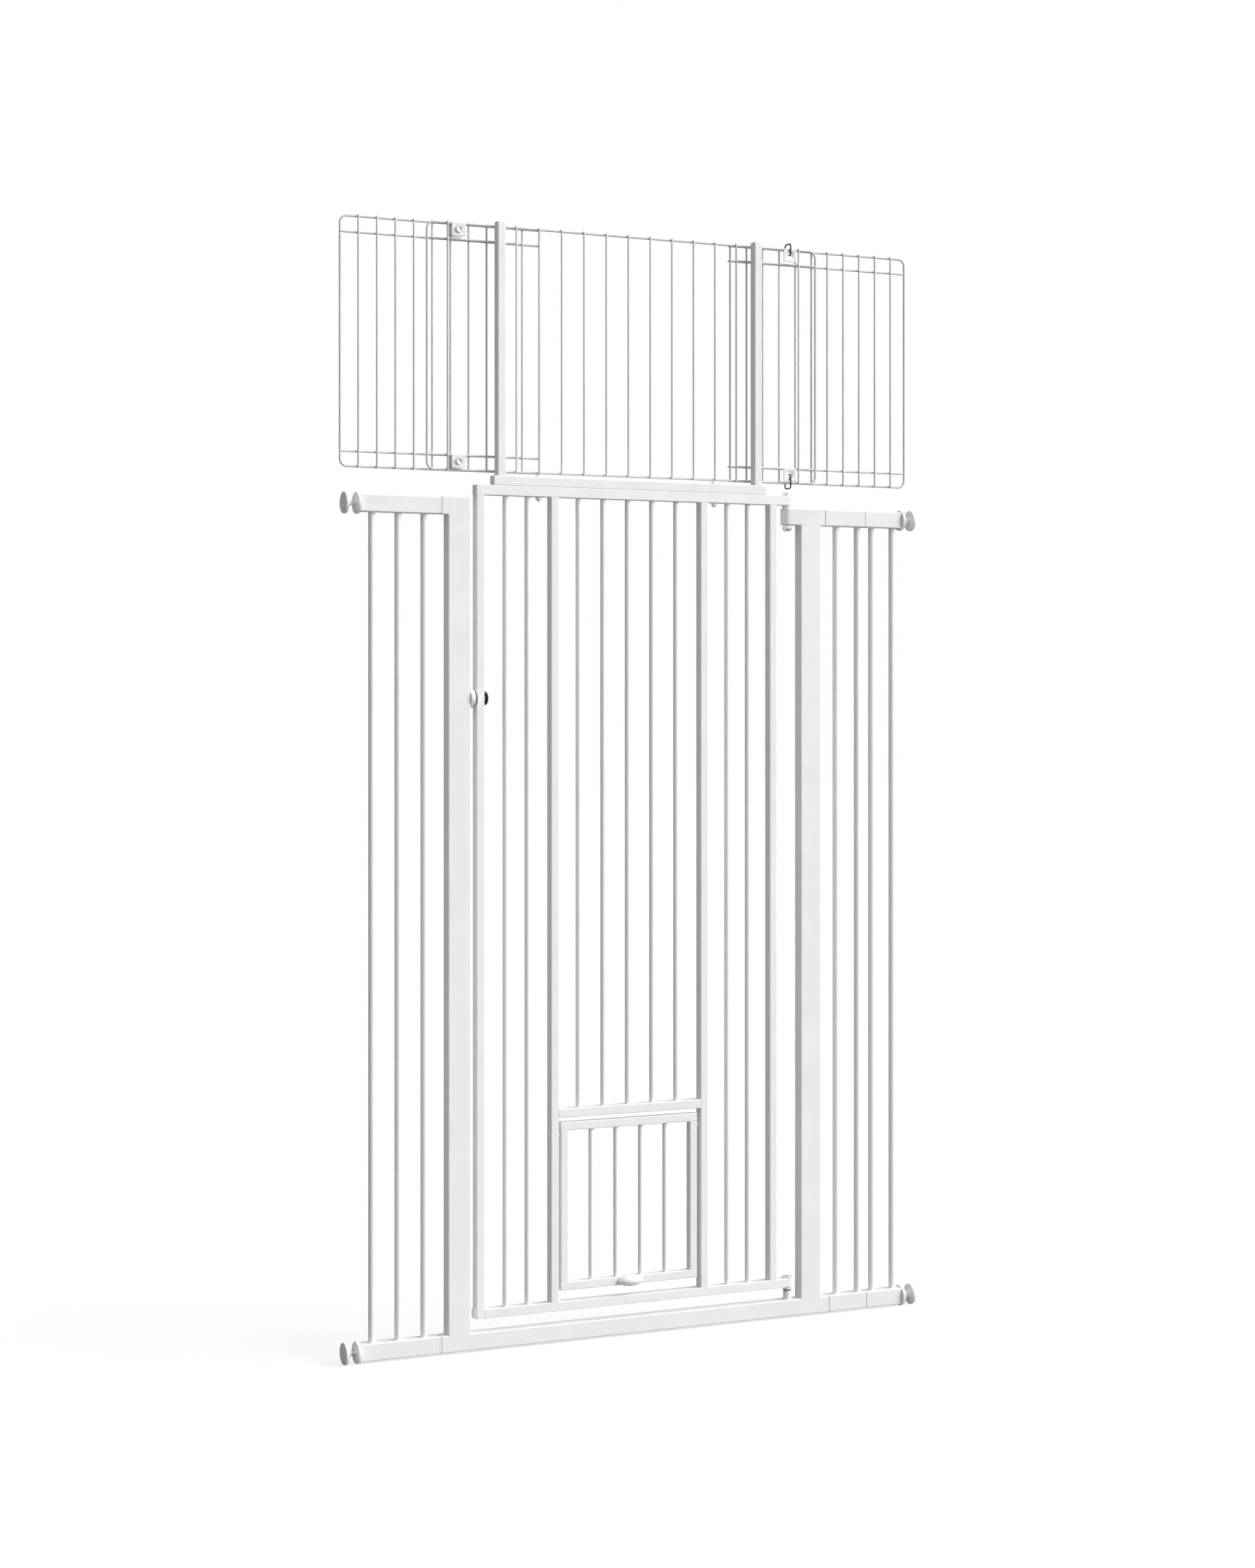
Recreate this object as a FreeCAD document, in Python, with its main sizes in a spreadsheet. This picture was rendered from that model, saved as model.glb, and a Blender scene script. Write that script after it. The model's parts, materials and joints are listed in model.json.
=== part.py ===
import FreeCAD, Part
import Sketcher
import math
import os
import re
from FreeCAD import Placement, Rotation, Vector

# Pressure-mounted pet gate: a steel frame between two walls, a swinging door, a small cat door in it,
# and a wire topper on the door. X runs along the gate, Y from front to back, Z up. The origin is the
# centre of the bottom rail's underside. Everything is in millimetres.

DOC = FreeCAD.newDocument("PetGate")
SHEET = DOC.addObject("Spreadsheet::Sheet", "Sizes")

SIZES = {
    # frame
    "gate_tall": 1500,          # top of the frame
    "wall_half": 571,           # half of the wall-to-wall width
    "rail_half": 540.5,         # half of the rails' span, extensions included
    "rail_tall": 30,
    "frame_deep": 25,
    "frame_gauge": 1.2,         # sheet thickness of the frame tubes
    "tube_round": 2.5,          # outer corner radius of the frame tubes
    "upright_wide": 42,
    "left_upright_x": -359,
    "right_upright_x": 346,
    "left_seam_x": -392.6,      # frame ends where the extensions start
    "left_collar": 4.6,
    "right_collar": 1.4,
    "arm_end_x": 376,
    "rail_end_x": 384.5,
    "outer_seam_top_x": 462,
    "outer_seam_low_x": 465,
    # extension bars
    "ext_bar": 12,
    "bar_gauge": 0.9,
    "left_bar_x": -518.5,
    "left_bar_step": 48.4,
    "inner_bar_x": 406,
    "inner_bar_step": 46,
    "outer_bar_x": 483,
    "outer_bar_step": 44.8,
    # tension mounts
    "rod_thick": 8,
    "rod_long": 84,
    "pad_round": 38,
    "pad_thick": 5.5,
    "hub_round": 13,
    "hub_long": 8,
    "nut_thick": 5.6,
    "bush_flange": 2,
    "bush_long": 18,
    # hinges
    "hinge_x": 302,
    "hinge_bolt": 10,
    "hinge_bore": 10.16,
    "arm_bush": 14,
    "sleeve_round": 15,
    "sleeve_tall": 16,
    "hinge_head": 17,           # across flats
    "hinge_head_tall": 6.4,
    "lock_nut_tall": 10,
    "bolt_past_nut": 1.2,
    "button_round": 17.6,
    "button_tall": 4.4,
    "button_key": 6,
    "spacer_round": 18,
    "seal_round": 16,
    "seal_tall": 1.4,
    "run_gap": 0.4,             # between a turning ring and what it turns on
    "hex_turned": 1.6,          # radius that turns the corners off a bolt head or nut
    # door
    "door_deep": 20,
    "door_gauge": 1.1,
    "door_round": 2,
    "door_low": 53,             # underside of the door
    "door_top": 1524,
    "door_rail_tall": 16,
    "top_rail_tall": 18,
    "stile_wide": 15,
    "stile_half": 300.5,        # door centre to the outer face of a stile
    "door_x": -25,
    "mullion_half": 157,
    "cross_low": 397.5,
    "door_bar": 10,
    "side_bar_left_x": -267,
    "side_bar_left_step": 42.5,
    "side_bar_right_x": 175.8,
    "side_bar_right_step": 42.8,
    "centre_bar_x": -124.8,
    "centre_bar_step": 48.9,
    # latch
    "latch_z": 1147,
    "latch_bolt": 8,
    "latch_bore": 8.16,
    "latch_barrel": 12,
    "latch_flange": 35,
    "latch_flange_thick": 1.6,
    "latch_proud": 1,           # tip of the bolt beyond the flange, pulled back
    "latch_travel": 3.5,
    "keeper_round": 33,
    "keeper_thick": 9.4,
    "keeper_hole": 5.6,
    "knob_round": 25,
    "knob_thick": 5.2,
    # cat door
    "cat_x": -26,
    "cat_half": 136,
    "cat_wide": 14,
    "cat_deep": 16,
    "cat_low": 88,
    "cat_top": 389,
    "cat_rail_tall": 15,
    "cat_bar": 9,
    "cat_bar_x": -100,
    "cat_bar_step": 49.4,
    "pivot_z": 366,
    "pivot_bolt": 6,
    "pivot_bore": 6.16,
    "pivot_bush": 9,
    "pull_long": 50,
    "pull_tall": 21,
    "pull_thick": 15,
    "pivot_head": 11,
    "pivot_head_tall": 3,
    "pivot_spacer": 4,
    # topper
    "topper_x": -20,
    "base_half": 272,
    "base_tall": 17,
    "post_half": 257,
    "post_deep": 18,
    "post_top": 1991,
    "topper_bolt": 6,
    "topper_bolt_half": 176,
    "topper_bolt_x": -27,
    "small_head": 10,           # across flats of the topper's bolts and nuts
    "small_head_tall": 4,
    "small_nut_tall": 5,
    "cap_tall": 1.5,
    "end_cap_thick": 1.4,
    "shoe_thick": 2.4,
    "shoe_tall": 18,
    "wire_thick": 3.5,
    "loop_thick": 4,
    "loop_round": 13,
    "wire_top": 1985,
    "wire_second": 1957,
    "wire_low_second": 1576,
    "wire_low": 1550,
    "wire_foot": 2.5,           # an upright wire runs on below the loop, and above it
    "wire_tip": 3.5,
    "centre_half": 390,
    "centre_step": 44.2,
    "centre_last": 352.4,
    "side_step": 34.4,
    "side_end_gap": 32.4,
    "panel_gap": 0.6,
    "clamp_half": 332.5,
    "clamp_wide": 27,
    "clamp_tall": 24,
    "clamp_thick": 2,
    "clamp_top_z": 1974,
    "clamp_low_z": 1565,
    "clamp_head": 12,
    "clamp_head_tall": 3.6,
    "hook_hole": 9,
    "hook_thick": 2.6,
    "hook_rise": 10.5,
}

for row, (alias, number) in enumerate(SIZES.items(), start=1):
    SHEET.set(f"A{row}", alias)
    SHEET.set(f"B{row}", str(number))
    SHEET.setAlias(f"B{row}", alias)
DOC.recompute()

ALONG_X = Rotation(Vector(0, 1, 0), 90)      # a piece built along Z comes to lie along +X
BACK_X = Rotation(Vector(0, 1, 0), -90)      # the same, along -X
ALONG_Y = Rotation(Vector(1, 0, 0), -90)     # along +Y
UPRIGHT = Rotation()

NODES = []
END_PLUGS = []                               # plastic plugs that close the frame's tubes
DOOR_CAPS = []                               # plastic caps on the door and the topper
TOPPER_FASTENERS = []                        # small bolts and nuts of the topper and its clamps


def size(alias):
    """A driving dimension as a plain number."""
    return float(SHEET.get(alias))


def bound(text):
    """An expression with every driving dimension named through the sheet."""
    return re.sub(r"[a-z_]{3,}", lambda word: "Sizes." + word.group() if word.group() in SIZES
                  else word.group(), str(text))


def place(piece, where, turn=UPRIGHT):
    """Turn a piece, then bind its place to the sheet."""
    piece.Placement = Placement(Vector(), turn)
    for axis, text in zip("xyz", where):
        piece.setExpression(f"Placement.Base.{axis}", bound(text))
    return piece


def keep(piece, label):
    """Name a finished piece and list it as one of the gate's sub-parts."""
    piece.Label = label
    NODES.append(piece)
    return piece


# ---------------------------------------------------------------- primitives

def cylinder(thick, tall, where=(0, 0, 0), turn=UPRIGHT):
    piece = DOC.addObject("Part::Cylinder", "Round")
    piece.setExpression("Radius", bound(f"({thick}) / 2"))
    piece.setExpression("Height", bound(tall))
    return place(piece, where, turn)


def hexagon(flats, tall, where, turn=UPRIGHT, soft_top=True):
    """A bolt head or nut: a six-sided prism whose corners are turned off at its outer end."""
    prism = DOC.addObject("Part::Prism", "Hex")
    prism.Polygon = 6
    prism.setExpression("Circumradius", bound(f"({flats}) / 2 / cos(30)"))
    prism.setExpression("Height", bound(tall))
    turned = cylinder(f"({flats}) / cos(30) - 0.1", tall)
    outer = max if soft_top else min
    DOC.recompute()
    ends = [edge.CenterOfMass.z for edge in turned.Shape.Edges]
    chosen = outer(ends)
    turned = round_edges(turned, size("hex_turned"), lambda edge: edge.BoundBox.ZLength < 0.01
                         and abs(edge.CenterOfMass.z - chosen) < 0.01)
    return place(common(prism, turned), where, turn)


def box(wide, deep, tall, where):
    """A box whose place is the middle of its lowest face."""
    piece = DOC.addObject("Part::Box", "Block")
    piece.setExpression("Length", bound(wide))
    piece.setExpression("Width", bound(deep))
    piece.setExpression("Height", bound(tall))
    corner = (f"{where[0]} - ({wide}) / 2", f"{where[1]} - ({deep}) / 2", where[2])
    return place(piece, corner)


def fuse(*pieces):
    piece = DOC.addObject("Part::MultiFuse", "Joined")
    piece.Shapes = list(pieces)
    return piece


def cut(base, *tools):
    for tool in tools:
        piece = DOC.addObject("Part::Cut", "Cut")
        piece.Base = base
        piece.Tool = tool
        base = piece
    return base


def common(base, tool):
    piece = DOC.addObject("Part::Common", "Common")
    piece.Base = base
    piece.Tool = tool
    return piece


def group(*pieces):
    piece = DOC.addObject("Part::Compound", "Group")
    piece.Links = list(pieces)
    return piece


def round_edges(base, radius, chosen):
    """Round the edges of a boolean result that the test picks."""
    DOC.recompute()
    piece = DOC.addObject("Part::Fillet", "Rounded")
    piece.Base = base
    picked = [i for i, edge in enumerate(base.Shape.Edges, start=1) if chosen(edge)]
    piece.Edges = [(i, radius, radius) for i in picked]
    return piece


# ---------------------------------------------------------------- sketched pieces

def plane_of(body, role):
    return [item for item in body.Origin.OriginFeatures if item.Role == role][0]


def sketch_in(body, role="XY_Plane"):
    sketch = body.newObject("Sketcher::SketchObject", "Section")
    sketch.AttachmentSupport = (plane_of(body, role), [""])
    sketch.MapMode = "FlatFace"
    return sketch


def add_rectangle(sketch, wide, deep):
    """A rectangle centred on the sketch's origin, its two sides bound to the sheet."""
    first = sketch.GeometryCount
    corners = [Vector(-5, -4, 0), Vector(5, -4, 0), Vector(5, 4, 0), Vector(-5, 4, 0)]
    for k in range(4):
        sketch.addGeometry(Part.LineSegment(corners[k], corners[(k + 1) % 4]), False)
    for k in range(4):
        sketch.addConstraint(Sketcher.Constraint("Coincident", first + k, 2, first + (k + 1) % 4, 1))
    sketch.addConstraint(Sketcher.Constraint("Horizontal", first))
    sketch.addConstraint(Sketcher.Constraint("Horizontal", first + 2))
    sketch.addConstraint(Sketcher.Constraint("Vertical", first + 1))
    sketch.addConstraint(Sketcher.Constraint("Vertical", first + 3))
    sketch.addConstraint(Sketcher.Constraint("Symmetric", first, 1, first + 2, 1, -1, 1))
    for line, text in ((first, wide), (first + 1, deep)):
        index = sketch.addConstraint(Sketcher.Constraint("Distance", line, 1, line, 2, 10.0))
        sketch.setExpression(f"Constraints[{index}]", bound(text))


def add_circle(sketch, thick):
    """A circle centred on the sketch's origin."""
    index = sketch.addGeometry(Part.Circle(Vector(0, 0, 0), Vector(0, 0, 1), 3.0), False)
    sketch.addConstraint(Sketcher.Constraint("Coincident", index, 3, -1, 1))
    across = sketch.addConstraint(Sketcher.Constraint("Diameter", index, 6.0))
    sketch.setExpression(f"Constraints[{across}]", bound(thick))


def pad(body, sketch, tall):
    feature = body.newObject("PartDesign::Pad", "Pad")
    feature.Profile = sketch
    feature.setExpression("Length", bound(tall))
    return feature


def loose_tube(wide, deep, long, where, turn=UPRIGHT, gauge="frame_gauge", corner="tube_round",
               holes=()):
    """A rectangular steel tube, its outer corners rolled. Holes are (distance along, across, which way)."""
    body = DOC.addObject("PartDesign::Body", "Tube")
    sketch = sketch_in(body)
    add_rectangle(sketch, wide, deep)
    add_rectangle(sketch, f"({wide}) - 2 * {gauge}", f"({deep}) - 2 * {gauge}")
    extrusion = pad(body, sketch, long)
    DOC.recompute()
    half_wide = extrusion.Shape.BoundBox.XMax
    half_deep = extrusion.Shape.BoundBox.YMax
    corners = []
    for i, edge in enumerate(extrusion.Shape.Edges, start=1):
        middle = edge.CenterOfMass
        if abs(abs(middle.x) - half_wide) < 1e-6 and abs(abs(middle.y) - half_deep) < 1e-6:
            corners.append(f"Edge{i}")
    rolled = body.newObject("PartDesign::Fillet", "Rolled")
    rolled.Base = (extrusion, corners)
    rolled.setExpression("Radius", bound(corner))
    body.Tip = rolled
    for along, across, role in holes:
        drill = sketch_in(body, role)
        add_drill_circle(drill, across, along)
        pocket = body.newObject("PartDesign::Pocket", "Drilled")
        pocket.Profile = drill
        pocket.Type = "ThroughAll"
        pocket.Midplane = True
        body.Tip = pocket
    return place(body, where, turn)


def tube(label, *sizes, **options):
    """A tube that is a sub-part by itself."""
    return keep(loose_tube(*sizes, **options), label)


def add_drill_circle(sketch, across, along):
    """A circle on the tube's centre line, at a distance along it."""
    index = sketch.addGeometry(Part.Circle(Vector(0, 20, 0), Vector(0, 0, 1), 3.0), False)
    sketch.addConstraint(Sketcher.Constraint("PointOnObject", index, 3, -2))
    place_y = sketch.addConstraint(Sketcher.Constraint("DistanceY", -1, 1, index, 3, 20.0))
    sketch.setExpression(f"Constraints[{place_y}]", bound(along))
    wide = sketch.addConstraint(Sketcher.Constraint("Diameter", index, 6.0))
    sketch.setExpression(f"Constraints[{wide}]", bound(across))


def bar_row(thick, count, step, tall, where):
    """A row of thin-walled round bars, made from one bar by a linear pattern."""
    body = DOC.addObject("PartDesign::Body", "BarRow")
    body.AllowCompound = True
    sketch = sketch_in(body)
    add_circle(sketch, thick)
    add_circle(sketch, f"{thick} - 2 * bar_gauge")
    bar = pad(body, sketch, tall)
    DOC.recompute()
    row_of = body.newObject("PartDesign::LinearPattern", "Row")
    row_of.Originals = [bar]
    row_of.Direction = (sketch, ["H_Axis"])
    row_of.setExpression("Length", bound(f"{count - 1} * {step}"))
    row_of.Occurrences = count
    body.Tip = row_of
    return place(body, where)


def round_end_rail(label, start_x, tall, deep, low, gauge, holes):
    """A closed rail whose right end is half round in plan, about the hinge line."""
    solids = []
    for inset in ("0", gauge):
        wide = f"hinge_x - ({start_x}) - {inset}"
        block = box(wide, f"{deep} - 2 * {inset}", f"{tall} - 2 * {inset}",
                    (f"{start_x} + {inset} + ({wide}) / 2", "0", f"{low} + {inset}"))
        end = cylinder(f"{deep} - 2 * {inset}", f"{tall} - 2 * {inset}",
                       ("hinge_x", "0", f"{low} + {inset}"))
        solids.append(fuse(block, end))
    shell = cut(solids[0], solids[1])
    for x, across in holes:
        shell = cut(shell, cylinder(across, f"{tall} + 2", (x, "0", f"{low} - 1")))
    return keep(shell, label)


# ---------------------------------------------------------------- frame

def frame():
    top_rail_z = "gate_tall - rail_tall"
    middle_top = "gate_tall - rail_tall / 2"
    tube("frame_left_upright", "upright_wide", "frame_deep", "gate_tall - rail_tall - cap_tall",
         ("left_upright_x", "0", "rail_tall"))
    tube("frame_right_upright", "upright_wide", "frame_deep", "gate_tall - 2 * rail_tall",
         ("right_upright_x", "0", "rail_tall"))
    tube("frame_bottom_rail", "rail_tall", "frame_deep", "rail_end_x - left_seam_x",
         ("left_seam_x", "0", "rail_tall / 2"), ALONG_X)
    tube("frame_left_stub", "rail_tall", "frame_deep", "left_upright_x - upright_wide / 2 - left_seam_x",
         ("left_seam_x", "0", middle_top), ALONG_X)
    # plug that closes the top of the left upright
    head = box("upright_wide", "frame_deep", "cap_tall", ("left_upright_x", "0", "gate_tall - cap_tall"))
    head = round_edges(head, size("tube_round"), lambda edge: edge.BoundBox.ZLength > 1)
    spigot = box("upright_wide - 2 * frame_gauge - 0.2", "frame_deep - 2 * frame_gauge - 0.2", "12",
                 ("left_upright_x", "0", "gate_tall - cap_tall - 12"))
    END_PLUGS.append(fuse(head, spigot))

    # hinge arm: box rail with a half-round end about the hinge line
    solids = []
    for inset in ("0", "frame_gauge"):
        wide = "arm_end_x - hinge_x"
        tall = f"rail_tall - 2 * {inset}"
        deep = f"frame_deep - 2 * {inset}"
        low = f"{top_rail_z} + {inset}"
        block = box(wide, deep, tall, (f"hinge_x + ({wide}) / 2", "0", low))
        solids.append(fuse(block, cylinder(deep, tall, ("hinge_x", "0", low))))
    arm = cut(solids[0], solids[1])
    arm = cut(arm, cylinder("arm_bush + 0.1", "rail_tall + 2", ("hinge_x", "0", f"{top_rail_z} - 1")))
    keep(arm, "frame_hinge_arm")

    bush = cylinder("arm_bush", "rail_tall", ("hinge_x", "0", top_rail_z))
    bore = cylinder("hinge_bore", "rail_tall + 2", ("hinge_x", "0", f"{top_rail_z} - 1"))
    arm_bush = cut(bush, bore)

    sleeve = cylinder("sleeve_round", "sleeve_tall", ("hinge_x", "0", "rail_tall"))
    groove = cut(cylinder("sleeve_round + 2", "1", ("hinge_x", "0", "rail_tall + sleeve_tall - 4")),
                 cylinder("sleeve_round - 1.2", "1", ("hinge_x", "0", "rail_tall + sleeve_tall - 4")))
    bore = cylinder("hinge_bore", "sleeve_tall + 1", ("hinge_x", "0", "rail_tall + 1"))
    keep(group(arm_bush, cut(sleeve, groove, bore)), "frame_hinge_bushes")


def rail(start, end, z):
    """One extension rail, between two places along the gate."""
    return loose_tube("rail_tall", "frame_deep", f"({end}) - ({start})", (start, "0", z), ALONG_X)


def collar(x, wide, low):
    """A plastic joint piece: a thin collar that shows, with a spigot into the tube on each side."""
    ring = box(wide, "frame_deep - 0.6", "rail_tall - 0.6", (f"{x} + {wide} / 2", "0", f"{low} + 0.3"))
    spigot = box(f"{wide} + 20", "frame_deep - 2 * frame_gauge - 0.2", "rail_tall - 2 * frame_gauge - 0.2",
                 (f"{x} + {wide} / 2", "0", f"{low} + frame_gauge + 0.1"))
    return fuse(ring, spigot)


def extensions():
    """Rails and bars that widen the gate: one set on the left, two in a row on the right."""
    for level, z, inner_start, outer_start in (
            ("top", "gate_tall - rail_tall / 2", "arm_end_x", "outer_seam_top_x"),
            ("bottom", "rail_tall / 2", "rail_end_x", "outer_seam_low_x")):
        keep(rail("-rail_half", "left_seam_x - left_collar", z), f"left_extension_{level}_rail")
        pair = group(rail(f"{inner_start} + right_collar", outer_start, z),
                     rail(f"{outer_start} + right_collar", "rail_half", z))
        keep(pair, f"right_extension_{level}_rails")

    tall = "gate_tall - 2 * rail_tall"
    keep(bar_row("ext_bar", 3, "left_bar_step", tall, ("left_bar_x", "0", "rail_tall")),
         "left_extension_bars")
    inner = bar_row("ext_bar", 2, "inner_bar_step", tall, ("inner_bar_x", "0", "rail_tall"))
    outer = bar_row("ext_bar", 2, "outer_bar_step", tall, ("outer_bar_x", "0", "rail_tall"))
    keep(group(inner, outer), "right_extension_bars")

    upper = "gate_tall - rail_tall"
    collars = []
    for x, wide, low in (("left_seam_x - left_collar", "left_collar", upper),
                         ("left_seam_x - left_collar", "left_collar", "0"),
                         ("arm_end_x", "right_collar", upper), ("rail_end_x", "right_collar", "0"),
                         ("outer_seam_top_x", "right_collar", upper),
                         ("outer_seam_low_x", "right_collar", "0")):
        collars.append(collar(x, wide, low))
    keep(group(*collars), "joint_collars")


# ---------------------------------------------------------------- tension mounts

def tension_mounts():
    bushings = []
    for level, z in (("top", "gate_tall - rail_tall / 2"), ("bottom", "rail_tall / 2")):
        for side, sign, turn in (("left", "-1", ALONG_X), ("right", "1", BACK_X)):
            name = f"{level}_{side}"
            # a pushed-in end plug with a clear bore for the rod; local Z points inwards
            flange = box("rail_tall", "frame_deep", "bush_flange", ("0", "0", "0"))
            spigot = box("rail_tall - 2 * frame_gauge - 0.2", "frame_deep - 2 * frame_gauge - 0.2",
                         "bush_long", ("0", "0", "bush_flange"))
            bore = cylinder("rod_thick + 0.8", "bush_flange + bush_long + 2", ("0", "0", "-1"))
            plug = cut(fuse(flange, spigot), bore)
            bushings.append(place(plug, (f"{sign} * (rail_half + bush_flange)", "0", z), turn))

            # wall pad: a dished disc and a hub that holds the rod's end
            disc = cylinder("pad_round", "pad_thick")
            disc = round_edges(disc, 1.2, lambda edge: edge.BoundBox.ZLength < 0.01)
            hub = cylinder("hub_round", "hub_long", ("0", "0", "pad_thick"))
            socket = cylinder("rod_thick + 0.1", "hub_long + 4", ("0", "0", "pad_thick - 2"))
            keep(place(cut(fuse(disc, hub), socket), (f"{sign} * wall_half", "0", z), turn),
                 f"wall_pad_{name}")

            rod = cylinder("rod_thick", "rod_long",
                           (f"{sign} * (wall_half - pad_thick + 1.9)", "0", z), turn)
            keep(rod, f"tension_rod_{name}")

            # hand nut: a knurled disc that bears on the end plug
            wheel = cylinder("pad_round + 0.5", "nut_thick")
            wheel = round_edges(wheel, 1.0, lambda edge: edge.BoundBox.ZLength < 0.01)
            thread = cylinder("rod_thick + 0.16", "nut_thick + 2", ("0", "0", "-1"))
            start = f"{sign} * (rail_half + bush_flange + 0.3 + nut_thick)"
            keep(place(cut(wheel, thread), (start, "0", z), turn), f"hand_nut_{name}")
    keep(group(*END_PLUGS, *bushings), "frame_end_plugs")


# ---------------------------------------------------------------- door

def door():
    stile_tall = "door_top - top_rail_tall - door_low"
    left_x = "door_x - stile_half + stile_wide / 2"
    right_x = "door_x + stile_half - stile_wide / 2"
    rail_top = "door_low + door_rail_tall"
    inner_tall = f"door_top - top_rail_tall - ({rail_top})"
    tube("door_left_stile", "stile_wide", "door_deep", stile_tall, (left_x, "0", "door_low"),
         gauge="door_gauge", corner="door_round",
         holes=[("latch_z - door_low", "latch_barrel + 0.1", "YZ_Plane")])
    tube("door_right_stile", "stile_wide", "door_deep", inner_tall, (right_x, "0", rail_top),
         gauge="door_gauge", corner="door_round")
    for name, x in (("left", "door_x - mullion_half + stile_wide / 2"),
                    ("right", "door_x + mullion_half - stile_wide / 2")):
        tube(f"door_{name}_mullion", "stile_wide", "door_deep", inner_tall, (x, "0", rail_top),
             gauge="door_gauge", corner="door_round",
             holes=[(f"pivot_z - ({rail_top})", "pivot_bolt + 0.1", "YZ_Plane")])
    tube("door_cross_rail", "door_rail_tall", "door_deep", "2 * (mullion_half - stile_wide)",
         ("door_x - mullion_half + stile_wide", "0", "cross_low + door_rail_tall / 2"), ALONG_X,
         gauge="door_gauge", corner="door_round")

    bolt_holes = [(f"topper_bolt_x - topper_bolt_half", "topper_bolt + 0.2"),
                  (f"topper_bolt_x + topper_bolt_half", "topper_bolt + 0.2")]
    round_end_rail("door_top_rail", "door_x - stile_half + 1", "top_rail_tall", "door_deep",
                   "door_top - top_rail_tall", "door_gauge",
                   [("hinge_x", "hinge_bolt + 0.1")] + bolt_holes)
    round_end_rail("door_bottom_rail", "door_x - stile_half + stile_wide", "door_rail_tall", "door_deep",
                   "door_low", "door_gauge", [("hinge_x", "hinge_bolt + 0.1")])

    for name in ("left", "right"):
        bars = bar_row("door_bar", 2, f"side_bar_{name}_step", inner_tall,
                       (f"side_bar_{name}_x", "0", rail_top))
        keep(bars, f"door_{name}_bars")
    cross_top = "cross_low + door_rail_tall"
    centre = bar_row("door_bar", 5, "centre_bar_step", f"door_top - top_rail_tall - ({cross_top})",
                     ("centre_bar_x", "0", cross_top))
    keep(centre, "door_centre_bars")

    cap = box("end_cap_thick", "door_deep", "top_rail_tall",
              ("door_x - stile_half + 1 - end_cap_thick / 2", "0", "door_top - top_rail_tall"))
    cap = round_edges(cap, 1.2, lambda edge: edge.BoundBox.XLength > 1)
    DOOR_CAPS.append(cap)
    shoe = box("shoe_thick", "door_deep - 2", "shoe_tall",
               ("door_x - stile_half - shoe_thick / 2", "0", "door_low"))
    shoe = round_edges(shoe, 1.0, lambda edge: abs(edge.CenterOfMass.x - edge.BoundBox.XMin) < 0.01
                       and edge.CenterOfMass.x < size("door_x") - size("stile_half") - 2)
    DOOR_CAPS.append(shoe)


def ring(across, bore, tall, low):
    """A washer about the hinge line."""
    hole = cylinder(bore, f"{tall} + 2", ("hinge_x", "0", f"{low} - 1"))
    return cut(cylinder(across, tall, ("hinge_x", "0", low)), hole)


def hinge_bolts():
    """The bolts that the door turns on, with their nut, spacers and seal."""
    arm_low = "gate_tall - rail_tall"
    nut_low = f"{arm_low} - run_gap - lock_nut_tall"
    head = hexagon("hinge_head", "hinge_head_tall", ("hinge_x", "0", "door_top"))
    shank = cylinder("hinge_bolt", f"door_top - ({nut_low}) + bolt_past_nut",
                     ("hinge_x", "0", f"{nut_low} - bolt_past_nut"))
    upper_bolt = fuse(head, shank)
    lock_nut = hexagon("hinge_head", "lock_nut_tall", ("hinge_x", "0", nut_low), soft_top=False)
    lock_nut = cut(lock_nut, cylinder("hinge_bolt + 0.1", "lock_nut_tall + 2",
                                      ("hinge_x", "0", f"{nut_low} - 1")))

    rail_top = "door_low + door_rail_tall"
    head = cylinder("button_round", "button_tall", ("hinge_x", "0", rail_top))
    head = round_edges(head, 2.0, lambda edge: edge.BoundBox.ZLength < 0.01
                       and edge.CenterOfMass.z > size("door_low") + size("door_rail_tall") + 1)
    key = cylinder("button_key", "button_tall", ("hinge_x", "0", f"{rail_top} + button_tall / 2"))
    shank = cylinder("hinge_bolt", f"{rail_top} - rail_tall - 3", ("hinge_x", "0", "rail_tall + 3"))
    keep(group(upper_bolt, lock_nut, cut(fuse(head, shank), key)), "hinge_bolts")

    bore = "hinge_bolt + 0.1"
    seal_low = "rail_tall + sleeve_tall + run_gap"
    upper_spacer = ring("spacer_round", bore, "door_top - top_rail_tall - gate_tall - run_gap",
                        "gate_tall + run_gap")
    seal = ring("seal_round", bore, "seal_tall", seal_low)
    lower_spacer = ring("seal_round - 0.6", bore, f"door_low - ({seal_low}) - seal_tall",
                        f"{seal_low} + seal_tall")
    keep(group(upper_spacer, seal, lower_spacer), "hinge_washers")


# ---------------------------------------------------------------- latch

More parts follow.
